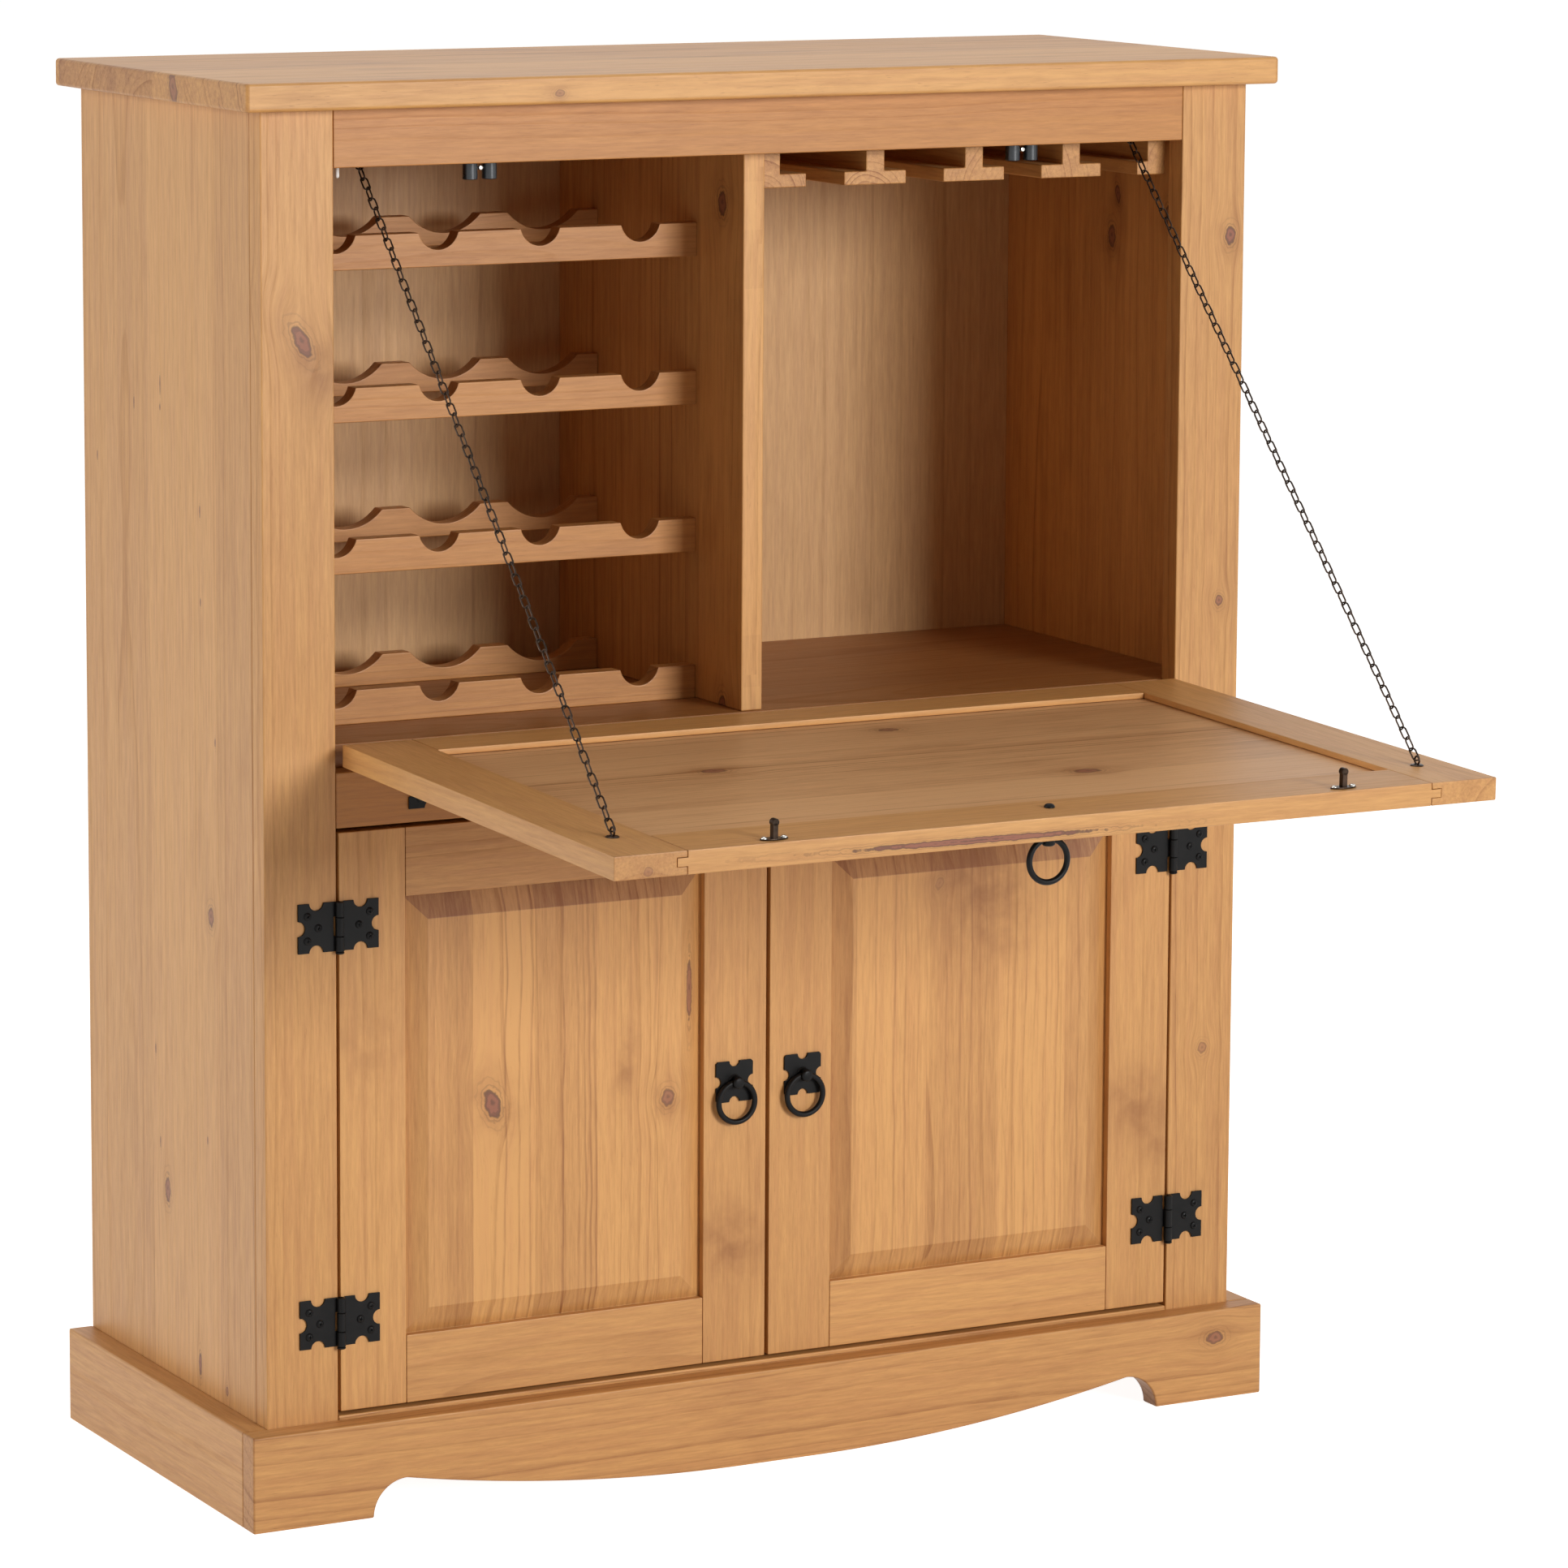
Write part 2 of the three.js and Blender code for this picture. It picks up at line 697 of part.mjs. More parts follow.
// The depth behind the shut flap's inner face at which the rollers and the tongue's head sit.
const strikeFace = strikeThickness + seatGap;
const rollerDepth = strikeFace + screwHeadHeight + rollerClearance + rollerRadius;
const rollerFromMiddle = rollerSplit / 2 + rollerRadius;
const headSpan = tongueHeadRadius + rollerRadius + tongueClearance;
const headDepth = rollerDepth + Math.sqrt(headSpan ** 2 - rollerFromMiddle ** 2);

// A strike on the flap's inner face at y = 0, standing towards +Y.
function strike() {
  const base = board(
    -strikeLength / 2,
    strikeLength / 2,
    seatGap,
    strikeFace,
    -strikeWidth / 2,
    strikeWidth / 2,
  );
  const neck = board(
    -tongueNeck / 2,
    tongueNeck / 2,
    strikeFace - embed,
    headDepth,
    -tongueWidth / 2,
    tongueWidth / 2,
  );
  const head = rodZ(-tongueWidth / 2, tongueWidth / 2, tongueHeadRadius).translate(0, headDepth, 0);
  const screws = [-1, 1].map((sign) =>
    screwHead(0, 0, 0, strikeScrewRadius)
      .rotateX(Math.PI)
      .translate(sign * strikeScrewFromMiddle, strikeFace, 0),
  );
  return join(base, neck, head, ...screws);
}

function flap() {
  const hinge = new THREE.Group();
  hinge.position.set(0, -hingeStandoff, middleRailTop + flapEndGap / 2);
  hinge.rotation.x = flapOpening;
  cabinet.add(hinge);
  const foot = flapEndGap / 2;
  const top = foot + flapLength;
  const innerFace = hingeStandoff + flapThickness;
  const [frame, panel] = framedLeaf(
    flapWidth,
    flapLength,
    flapThickness,
    flapStile,
    flapRearRail,
    flapFrontRail,
  );
  const bored = drilled(frame, 0, flapLength - flapPullFromEdge).translate(0, hingeStandoff, foot);
  const eyes = sides.map(([, sign]) =>
    chainEye(sign * flapEye.x, innerFace, flapEye.z, flapEyeStandoff),
  );
  add("flap_frame", join(bored, ...eyes), pine, hinge);
  add("flap_panel", panel.translate(0, hingeStandoff, foot), pine, hinge);
  for (const [side, sign] of sides) {
    const flapLeaf = hingeLeaf(true, -1).rotateY(-Math.PI / 2);
    flapLeaf.translate(sign * flapHingeFromMiddle, 0, 0);
    add(`${side}_flap_hinge_flap_leaf`, flapLeaf, blackIron, hinge);
    const railLeaf = hingeLeaf(false, -1).rotateY(Math.PI / 2);
    railLeaf.translate(sign * flapHingeFromMiddle, hinge.position.y, hinge.position.z);
    add(`${side}_flap_hinge_rail_leaf`, railLeaf, blackIron);
    const strikePlace = [sign * catchFromMiddle, innerFace, top - strikeFromEdge];
    add(`${side}_strike`, strike().translate(...strikePlace), zincSteel, hinge);
  }
  const pull = new THREE.Group();
  pull.position.set(0, hingeStandoff, top - flapPullFromEdge);
  hinge.add(pull);
  add("flap_pull_plate", pullPlate(flapThickness), blackIron, pull);
  const swing = new THREE.Group();
  swing.position.y = -ringStandoff;
  swing.rotation.x = -flapOpening;
  pull.add(swing);
  add("flap_pull_ring", pullRing(), blackIron, swing);
  cabinet.updateMatrixWorld(true);
  return hinge;
}

// A bracket behind the top rail with two upright rollers below its arm.
function rollerCatches() {
  const shutFace = flapThickness;
  const middle = middleRailTop + flapEndGap + flapLength - strikeFromEdge;
  const rollerTop = middle - tongueWidth / 2 + rollerHeight;
  const armBottom = rollerTop + rollerArmGap;
  const half = rollerFromMiddle + rollerRadius;
  const depth = shutFace + rollerDepth;
  for (const [side, sign] of sides) {
    const x = sign * catchFromMiddle;
    const back = board(
      x - half,
      x + half,
      frameThickness,
      frameThickness + bracketThickness,
      armBottom,
      armBottom + bracketHeight,
    );
    const arm = board(
      x - half,
      x + half,
      frameThickness,
      frameThickness + bracketReach,
      armBottom,
      armBottom + bracketThickness,
    );
    const rollers = [-1, 1].flatMap((hand) => [
      rodZ(rollerTop - rollerHeight, rollerTop, rollerRadius).translate(x + hand * rollerFromMiddle, depth, 0),
      rodZ(rollerTop - embed, armBottom + embed, rollerPinRadius, rollerPinRadius, smallSides).translate(
        x + hand * rollerFromMiddle,
        depth,
        0,
      ),
    ]);
    add(`${side}_roller_catch`, join(back, arm, ...rollers), zincSteel);
  }
}

// A squared-off link whose end bars are reach apart, hanging from the first; it is wide along X.
function chainLink(reach) {
  const outerHalf = linkWidth / 2;
  const innerHalf = outerHalf - linkWire;
  const bar = linkWire / 2;
  const outline = polygon([
    [-outerHalf, -reach - bar],
    [outerHalf, -reach - bar],
    [outerHalf, bar],
    [-outerHalf, bar],
  ]);
  outline.holes.push(
    polygon([
      [-innerHalf, -reach + bar],
      [-innerHalf, -bar],
      [innerHalf, -bar],
      [innerHalf, -reach + bar],
    ]),
  );
  return prismY(outline, -bar, bar);
}

// A run of links that hangs from the origin, every other one turned a quarter round.
function chainRun(count, pitch) {
  const reach = pitch + linkWire - linkBite;
  const links = [];
  for (let i = 0; i < count; i++) {
    links.push(chainLink(reach).rotateZ((i % 2) * (Math.PI / 2)).translate(0, 0, -i * pitch));
  }
  return join(...links);
}

// Each chain is two straight runs that meet at an open elbow, placed so that both hang level
// when the flap is shut: the upper run swings in the top rail's eye and the lower in the flap's.
function chains(flapHinge) {
  const openEye = flapHinge.localToWorld(flapEye.clone());
  const shutEyeHeight = flapHinge.position.z + flapEye.z;
  const fall = Math.atan2(railEye.y - openEye.y, railEye.z - openEye.z);
  const span = railEye.distanceTo(openEye);
  const count = Math.floor(span / (linkPitch * 2)) * 2 + 1;
  const pitch = (span - linkWire + elbowGap + linkBite * 2) / count;
  const upperCount = Math.round((count + (railEye.z - shutEyeHeight) / pitch) / 2);
  for (const [side, sign] of sides) {
    const upper = new THREE.Group();
    upper.position.set(sign * railEye.x, railEye.y, railEye.z);
    upper.rotation.x = -fall;
    const lower = new THREE.Group();
    lower.position.set(sign * openEye.x, openEye.y, openEye.z);
    lower.rotation.x = Math.PI - fall;
    cabinet.add(upper, lower);
    add(`${side}_chain_upper`, chainRun(upperCount, pitch), blackIron, upper);
    add(`${side}_chain_lower`, chainRun(count - upperCount, pitch), blackIron, lower);
  }
}

carcass();
plinth();
bottleRack();
glassRails();
doors();
const flapHinge = flap();
rollerCatches();
chains(flapHinge);

const room = new THREE.Box3().setFromObject(cabinet);
cabinet.position.y = -(room.min.y + room.max.y) / 2;

export default cabinet;
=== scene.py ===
"""Dresses a pine wine bar cabinet: lacquered boards, black fittings, chains and a plain studio.

Lengths are millimetres while a piece is being made, with Y zero on the face frame's front, as in
the cabinet's own drawings. A finished mesh is in metres in the row's frame.
"""

import logging
import math
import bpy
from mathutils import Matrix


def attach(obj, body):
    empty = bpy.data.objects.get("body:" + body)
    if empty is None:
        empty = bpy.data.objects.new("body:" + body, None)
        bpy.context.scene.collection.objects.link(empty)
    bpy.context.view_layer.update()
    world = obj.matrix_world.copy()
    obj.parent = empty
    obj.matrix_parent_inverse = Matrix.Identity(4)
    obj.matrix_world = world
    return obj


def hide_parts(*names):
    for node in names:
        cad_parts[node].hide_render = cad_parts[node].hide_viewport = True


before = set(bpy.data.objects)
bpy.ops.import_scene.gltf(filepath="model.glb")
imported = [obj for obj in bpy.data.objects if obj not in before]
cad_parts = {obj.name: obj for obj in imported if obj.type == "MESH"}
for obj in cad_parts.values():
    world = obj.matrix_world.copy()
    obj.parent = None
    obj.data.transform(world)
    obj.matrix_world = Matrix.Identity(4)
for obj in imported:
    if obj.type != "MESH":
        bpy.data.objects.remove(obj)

import zlib
from dataclasses import dataclass, replace
from enum import Enum
from typing import Any, Callable, Iterable, Sequence

import bmesh
import bpy
from mathutils import Matrix, Vector

LOG = logging.getLogger("wine_bar_cabinet")
Point2 = tuple[float, float]
Point3 = tuple[float, float, float]
Profile = tuple[Point2, ...]
Mesh = bmesh.types.BMesh
Tree = bpy.types.NodeTree
Piece = bpy.types.Object

METRE = 0.001
ROW_SHIFT = 49.593535
TO_ROW = Matrix.Scale(METRE, 4) @ Matrix.Translation((0, ROW_SHIFT, 0))
AXES = "xyz"
SIDES: tuple[tuple[str, int], ...] = (("left", -1), ("right", 1))
CABINET = "cabinet"
WHITE = (1.0, 1.0, 1.0, 1.0)
# Points nearer than this are one point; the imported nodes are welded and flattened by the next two.
SAME = 1e-4
WELD = 0.01
FLAT_DEGREES = 1
# Each board's seed is its name's checksum, brought down to these.
SEEDS = 9973
SEED_STEP = 11.0
SHADING_WEIGHT = 80
GROWN_SMOOTH = 40


def at(x: float = 0, y: float = 0, z: float = 0) -> Matrix:
    """Returns a shift."""
    return Matrix.Translation((x, y, z))


def turn(axis: str, degrees: float) -> Matrix:
    """Returns a turn about an axis through the origin."""
    return Matrix.Rotation(math.radians(degrees), 4, axis)


def linear(code: str) -> tuple[float, float, float, float]:
    """Turns an sRGB hex colour into a linear one.

    Args:
        code: Six hex digits after a #.

    Returns:
        Red, green, blue and an alpha of 1.
    """
    parts = [int(code[i : i + 2], 16) / 255 for i in (1, 3, 5)]
    red, green, blue = (c / 12.92 if c <= 0.04045 else ((c + 0.055) / 1.055) ** 2.4 for c in parts)
    return red, green, blue, 1.0


@dataclass(frozen=True)
class Term:
    """A node's output that can be reckoned with: every step adds one node to its tree."""

    tree: Tree
    socket: bpy.types.NodeSocket | None

    def out(self, key: int | str) -> "Term":
        """Returns another output of the same node."""
        return Term(self.tree, self.socket.node.outputs[key])

    def math(self, operation: str, *others: Any, clamp: bool = False) -> "Term":
        """Adds a math node whose first value is this term."""
        return put(self.tree, "ShaderNodeMath", [self, *others], operation=operation, use_clamp=clamp)

    def times(self, factor: Any, plus: Any) -> "Term":
        """Multiplies and adds in one node."""
        return self.math("MULTIPLY_ADD", factor, plus)

    def ramp(self, low: float, high: float, start: float = 0.0, end: float = 1.0,
             shape: str = "LINEAR") -> "Term":
        """Takes the span from low to high to the one from start to end, and stays in it."""
        return put(self.tree, "ShaderNodeMapRange", [self, low, high, start, end], interpolation_type=shape)

    def step(self, low: float, high: float, start: float = 0.0, end: float = 1.0) -> "Term":
        """Does what ramp does, with smooth ends."""
        return self.ramp(low, high, start, end, "SMOOTHSTEP")

    def __add__(self, other: Any) -> "Term":
        """Adds."""
        return self.math("ADD", other)

    def __sub__(self, other: Any) -> "Term":
        """Subtracts."""
        return self.math("SUBTRACT", other)

    def __mul__(self, other: Any) -> "Term":
        """Multiplies."""
        return self.math("MULTIPLY", other)

    def __truediv__(self, other: Any) -> "Term":
        """Divides."""
        return self.math("DIVIDE", other)

    def __pow__(self, power: Any) -> "Term":
        """Raises to a power."""
        return self.math("POWER", power)

    def __abs__(self) -> "Term":
        """Drops the sign."""
        return self.math("ABSOLUTE")


def put(tree: Tree, kind: str, inputs: dict | Sequence = (), **settings: Any) -> Term:
    """Adds one node with its settings and links.

    Args:
        tree: The tree that the node goes into.
        kind: The node's type name.
        inputs: Input names or numbers, each with a constant, a term or a list of terms.
        **settings: Properties of the node.

    Returns:
        The node's first output that is in use.
    """
    node = tree.nodes.new(kind)
    for name, value in settings.items():
        setattr(node, name, value)
    for key, value in inputs.items() if isinstance(inputs, dict) else enumerate(inputs):
        if isinstance(value, (Term, list)):
            for term in value if isinstance(value, list) else [value]:
                tree.links.new(term.socket, node.inputs[key])
        elif value is not None:
            node.inputs[key].default_value = value
    return Term(tree, next((out for out in node.outputs if out.enabled), None))


Given = Callable[[str], Term]


def joined(tree: Tree, *parts: Any) -> Term:
    """Puts up to three numbers together as a vector."""
    return put(tree, "ShaderNodeCombineXYZ", parts)


def parted(vector: Term) -> Term:
    """Takes a vector apart."""
    return put(vector.tree, "ShaderNodeSeparateXYZ", [vector])


def scaled(vector: Term, factors: Sequence[float]) -> Term:
    """Multiplies a vector axis by axis."""
    return put(vector.tree, "ShaderNodeVectorMath", [vector, factors], operation="MULTIPLY")


def length(vector: Term) -> Term:
    """Returns how long a vector is."""
    return put(vector.tree, "ShaderNodeVectorMath", [vector], operation="LENGTH").out("Value")


def mixed(share: Term, first: Any, second: Any) -> Term:
    """Mixes two colours, the second by its share."""
    return put(share.tree, "ShaderNodeMix", {0: share, 6: first, 7: second}, data_type="RGBA").out(2)


def noise(vector: Term, detail: float, scale: float = 1.0, w: Any = None, roughness: float = 0.5) -> Term:
    """Returns noise from 0 to 1, which is another one at every W."""
    inputs = {"Vector": vector, "W": w, "Scale": scale, "Detail": detail, "Roughness": roughness}
    return put(vector.tree, "ShaderNodeTexNoise", inputs, noise_dimensions="3D" if w is None else "4D")


def millimetres(coords: Term) -> Term:
    """Returns the place on the object in millimetres."""
    return scaled(coords.out("Object"), (1 / METRE,) * 3)


def blank(name: str) -> bpy.types.Material:
    """Makes a new material.

    Args:
        name: The material's name.

    Returns:
        The material, with an empty tree.
    """
    made = bpy.data.materials.new(name)
    made.use_nodes = True
    made.node_tree.nodes.clear()
    return made


def surface(tree: Tree, height: Term, lumps: float, reach: float, inputs: dict[str, Any]) -> None:
    """Closes a material's tree with a bumped principled shader.

    Args:
        tree: The material's tree.
        height: The surface's height, from 0 to 1.
        lumps: How strong the bumps are.
        reach: What a height of 1 stands for, in metres.
        inputs: The shader's other inputs.
    """
    bump = put(tree, "ShaderNodeBump", {"Height": height, "Strength": lumps, "Distance": reach})
    put(tree, "ShaderNodeOutputMaterial", [put(tree, "ShaderNodeBsdfPrincipled", {**inputs, "Normal": bump})])


def group(name: str, inputs: dict[str, Sequence[str]],
          draw: Callable[[Tree, Given], dict[str, Term]]) -> Tree:
    """Makes a shader group, or takes the one that is there.

    Args:
        name: The group's name.
        inputs: The input names under their kind of socket.
        draw: Takes the tree and a function that returns an input, and returns the outputs.

    Returns:
        The group's tree.
    """
    if name in bpy.data.node_groups:
        return bpy.data.node_groups[name]
    tree = bpy.data.node_groups.new(name, "ShaderNodeTree")
    for kind, keys in inputs.items():
        for key in keys:
            tree.interface.new_socket(key, in_out="INPUT", socket_type=f"NodeSocket{kind}")
    results = draw(tree, put(tree, "NodeGroupInput").out)
    for key, term in results.items():
        kind = "Color" if term.socket.type == "RGBA" else "Float"
        tree.interface.new_socket(key, in_out="OUTPUT", socket_type=f"NodeSocket{kind}")
    put(tree, "NodeGroupOutput", results)
    return tree


def draw_vein(tree: Tree, given: Given) -> dict[str, Term]:
    """Draws one summer line down a board, thin and a little wavy.

    Args:
        tree: The group's tree.
        given: Returns one of its inputs.

    Returns:
        How much darker the wood is there.
    """
    wave = noise(joined(tree, given("Along") * (1 / 105.0), given("Centre") * (1 / 60.0)), 1.5)
    off = given("Across") - (wave - 0.5).times(9.0, given("Centre"))
    line = off.step(0.3, 1.0, 1.0, 0.0) * off.ramp(-2.6, 0.0, shape="SMOOTHERSTEP")
    return {"Tone": line**1.6 * wave.ramp(0.25, 0.6, 0.6, 1.1) * given("Amount")}


def draw_knot(tree: Tree, given: Given) -> dict[str, Term]:
    """Draws one knot.

    Args:
        tree: The group's tree.
        given: Returns one of its inputs.

    Returns:
        The bend of the rings round it, its core, its dark lines and the smoke round it.
    """
    off = given("Across") - given("Centre across")
    spot = joined(tree, off, given("Along") - given("Centre along"))
    parts = parted(put(tree, "ShaderNodeVectorRotate", {"Vector": spot, "Angle": given("Tilt")},
                       rotation_type="Z_AXIS"))
    share = length(joined(tree, parts.out(0), parts.out(1) / given("Stretch"))) / given("Radius")
    away = (noise(spot, 2.0, 0.16) - 0.5).times(0.9, share)
    near = put(tree, "ShaderNodeMath", [2.0, share * share * -0.16], operation="POWER")
    bend = off * near * (given("Dark").ramp(0.0, 0.1) * 0.82)
    core = away.step(0.8, 1.0, 1.0, 0.0)
    rim = away.step(0.66, 0.9, 0.0, 0.75) * away.step(0.94, 1.12, 1.0, 0.0)
    heart = away.step(0.05, 0.4, 0.6, 0.0)
    crest = (away * 10.5).math("SINE").step(0.35, 1.0, 0.0, 0.5)
    line = rim.math("MAXIMUM", heart).math("MAXIMUM", crest * away.ramp(0.6, 2.5, 1.0, 0.0))
    patch = noise(spot, 3.0, 0.05).ramp(0.3, 0.7, 0.25, 1.5)
    return {"Bend": bend, "Core": core * given("Dark"), "Line": line * given("Dark"),
            "Halo": near * patch * given("Smoke")}


def draw_grain(tree: Tree, given: Given) -> dict[str, Term]:
    """Grows rings round a pith and cuts staves out of them.

    A stave is one glued strip, with a pith and a tone of its own. Lengths are in millimetres.

    Args:
        tree: The group's tree.
        given: Returns one of its inputs.

    Returns:
        The wood's colour and its height, from 0 to 1.
    """
    seed, stave = given("Seed"), given("Stave")
    # The stave: its number, its three chance values and the place across it.
    count = (given("Across") - given("First seam")) / stave
    number = count.math("FLOOR")
    chance = put(tree, "ShaderNodeTexWhiteNoise", [joined(tree, number, seed)], noise_dimensions="2D")
    rolls = parted(chance.out("Color"))
    centred = count.math("FRACT") - 0.5
    off_pith = centred.times(stave, (rolls.out(0) - 0.5) * given("Spread"))
    # The pith wanders up and down along the board, which draws the long arches of flat-sawn wood.
    drift = noise(joined(tree, given("Along") * (1 / 380.0), number, seed), 0.5)
    below = given("Depth") + drift.times(34.0, rolls.out(1).times(30.0, given("Pith")))
    place = joined(tree, given("Across"), given("Depth"), given("Along"))

    def waves(wide: float, long: float, detail: float, w: Term = seed, roughness: float = 0.5) -> Term:
        """Returns noise in lumps of a width and a length."""
        return noise(scaled(place, (1 / wide, 1 / wide, 1 / long)), detail, w=w, roughness=roughness)

    # Slow and fast waves in the rings, and years that grew more or less.
    radius = waves(34.0, 210.0, 1.0).times(7.0, length(joined(tree, off_pith, below)))
    radius = waves(9.0, 60.0, 1.0).times(1.3, radius)
    years = put(tree, "ShaderNodeTexNoise", {"W": radius.times(0.045, seed), "Scale": 1.0, "Detail": 1.0},
                noise_dimensions="1D")
    phase = years.times(16.0, radius) / given("Ring gap")
    ring = phase.math("FRACT")
    year = phase.math("FLOOR").times(0.37, seed)
    strength = put(tree, "ShaderNodeTexWhiteNoise", {"Vector": joined(tree, number), "W": year},
                   noise_dimensions="4D")
    both = (ring.step(0.25, 0.95) ** 2.0).times(0.45, ring.step(0.74, 0.93, 0.0, 0.6))
    weight = (strength.out("Value") ** 2.2).ramp(0.0, 1.0, 0.10, 1.0)
    summer = both * ring.step(0.955, 1.0, 1.0, 0.0) * weight
    # Fibres, resin ducts and the soft clouds of the stain.
    fibre = waves(2.0, 30.0, 3.0, roughness=0.7)
    strand = waves(4.2, 150.0, 1.0)
    ducts = waves(0.7, 7.0, 0.0).step(0.72, 0.84, 0.0, 0.30)
    clouds = waves(40.0, 130.0, 2.0, number.times(7.3, seed) + 31.0).step(0.52, 0.82, 0.0, 0.40)
    # The tones are added up and shared between the pale and the dark colour.
    total = summer.times(rolls.out(1).ramp(0.0, 1.0, 0.75, 0.28), ducts)
    total = (strand - 0.5).times(0.42, total)
    total = (fibre - 0.5).times(0.85, (total + clouds) * given("Contrast"))
    total = ((rolls.out(2) - 0.5) * 0.30).times(given("Stave tone"), total) + given("Tone")
    seam = (abs(centred) * stave).math("GREATER_THAN", stave.times(0.5, -0.4))
    total = seam.times(0.08, total).math("ADD", 0.16, clamp=True)
    pale = mixed(strand.step(0.42, 0.66, 0.0, 0.3), given("Light"), given("Rosy"))
    return {"Color": mixed(total, pale, given("Dark")), "Height": summer.math("ADD", fibre, clamp=True)}


class Grain(Enum):
    """The way a board lies: the axis along its grain, then its width's and its thickness's."""

    UP_WIDE = "zxy"
    UP_DEEP = "zyx"
    ACROSS_TALL = "xzy"
    ACROSS_DEEP = "xyz"
    DEEP_WIDE = "yxz"
    DEEP_TALL = "yzx"


@dataclass(frozen=True)
class Knot:
    """A knot in a board's face, at a place across its width and along its grain.

    A streak of bark or resin is a narrow one with a long stretch, and a smoky patch is one that
    has no core. One with a face, such as xz, lies across and along these axes and shows on that
    face only.
    """

    across: float
    along: float
    radius: float
    stretch: float = 1.5
    tilt: float = 0.0
    dark: float = 0.8
    smoke: float = 0.25
    face: str = ""


@dataclass(frozen=True)
class Pine:
    """Honey pine, planed, stained and finished with a satin lacquer, so the eye sees thin brown
    summer lines and fine fibres on a golden ground under a soft sheen. Sizes are of real pine, in
    millimetres. A stave of 0 is one solid board."""

    grain: Grain
    stave: float = 0.0
    first_seam: float = 0.0
    spread: float = 260.0
    ring_gap: float = 9.0
    pith: float = 22.0
    contrast: float = 1.0
    tone: float = 0.0
    stave_tone: float = 1.0
    through: float = 1.0
    thirst: float = 0.7
    thirst_cap: float = 0.34
    # Painted shade and light by the way a face looks: the first darkens faces that look up the grain and
    # lightens those that look down it, the second darkens faces that look to the sides.
    upper_painted_shade: float = 0.0
    side_painted_shade: float = 0.0
    knots: tuple[Knot, ...] = ()
    bands: tuple[Point3, ...] = ()
    veins: tuple[Point2, ...] = ()
    light: str = "#d9a362"
    dark: str = "#8c5628"
    rosy: str = "#d0955d"
    smoky: str = "#925c2c"
    heart: str = "#8c543d"
    bark: str = "#45260f"
    whole_board: float = 2000.0
    facing: float = 0.7
    lumps: float = 0.3
    lump_height: float = 0.0002
    dull: Point2 = (0.40, 0.54)
    refraction: float = 1.48
    coat: float = 0.06
    coat_roughness: float = 0.3
    slot: str = "pine"

    def material(self, name: str, seed: float, middle: Sequence[float]) -> bpy.types.Material:
        """Makes the finish for one board.

        Args:
            name: The board's name.
            seed: A number that is the board's own, which picks its part of the tree.
            middle: The board's middle in millimetres.

        Returns:
            The board's material.
        """
        finish = blank(f"lacquered_pine_{name}")
        tree = finish.node_tree
        along, wide, deep = (AXES.index(axis) for axis in self.grain.value)
        coords = put(tree, "ShaderNodeTexCoord")
        spot = parted(millimetres(coords))
        across = spot.out(wide)
        # End grain drinks more stain, also where a bevel only cuts into it. Painted shade: faces that look up
        # the grain are darkened and those that look down it lightened, and faces that look to the board's
        # sides are darkened.
        faces = parted(coords.out("Normal"))
        stain_and_shade = (abs(faces.out(along)) * self.thirst).math("MINIMUM", self.thirst * self.thirst_cap)
        stain_and_shade = faces.out(along).times(self.upper_painted_shade, stain_and_shade)
        tone = abs(faces.out(wide)).times(self.side_painted_shade, stain_and_shade) + self.tone
        for low, high, amount in self.bands:
            inside = abs(spot.out(wide) - (low + high) / 2).math("LESS_THAN", (high - low) / 2)
            tone = inside.times(amount, tone)
        for place, amount in self.veins:
            tone = tone + put(tree, "ShaderNodeGroup", {
                "Along": spot.out(along), "Across": spot.out(wide), "Centre": place, "Amount": amount},
                node_tree=group("pine_vein", {"Float": ("Along", "Across", "Centre", "Amount")}, draw_vein))
        marks: dict[str, Any] = {"Halo": 0.0, "Core": 0.0, "Line": 0.0}
        for knot in self.knots:
            first, second = (AXES.index(axis) for axis in knot.face) if knot.face else (wide, along)
            shown: Any = 1.0
            if knot.face:
                shown = abs(faces.out(3 - first - second)).math("GREATER_THAN", self.facing)
            inputs = {"Across": spot.out(first), "Along": spot.out(second),
                      "Centre across": knot.across + (ROW_SHIFT if first == 1 else 0),
                      "Centre along": knot.along + (ROW_SHIFT if second == 1 else 0),
                      "Radius": knot.radius, "Stretch": knot.stretch, "Tilt": math.radians(knot.tilt),
                      "Dark": shown * knot.dark, "Smoke": shown * knot.smoke}
            mark = put(tree, "ShaderNodeGroup", inputs,
                       node_tree=group("pine_knot", {"Float": tuple(inputs)}, draw_knot))
            if not knot.face:
                across = across - mark.out("Bend")
            marks = {key: mark.out(key).math("ADD", sum_, clamp=True) for key, sum_ in marks.items()}
        solid = self.stave == 0
        inputs = {"Along": spot.out(along), "Across": across,
                  "Depth": (spot.out(deep) - middle[deep]) * self.through,
                  "Stave": self.whole_board if solid else self.stave,
                  "First seam": middle[wide] - self.whole_board / 2 if solid else self.first_seam,
                  "Seed": seed, "Spread": self.spread, "Ring gap": self.ring_gap, "Pith": self.pith,
                  "Contrast": self.contrast, "Tone": tone, "Stave tone": self.stave_tone}
        colours = {"Light": linear(self.light), "Dark": linear(self.dark), "Rosy": linear(self.rosy)}
        grown_wood = put(tree, "ShaderNodeGroup", {**inputs, **colours}, node_tree=group(
            "pine_grain", {"Float": tuple(inputs), "Color": tuple(colours)}, draw_grain))
        colour, height = grown_wood.out("Color"), grown_wood.out("Height")
        if self.knots:
            for share, mark_colour in zip(marks.values(), (self.smoky, self.heart, self.bark)):
                colour = mixed(share, colour, linear(mark_colour))
        surface(tree, height, self.lumps, self.lump_height, {
            "Base Color": colour, "Roughness": height.ramp(0.0, 1.0, *self.dull), "IOR": self.refraction,
            "Coat Weight": self.coat, "Coat Roughness": self.coat_roughness})
        return finish


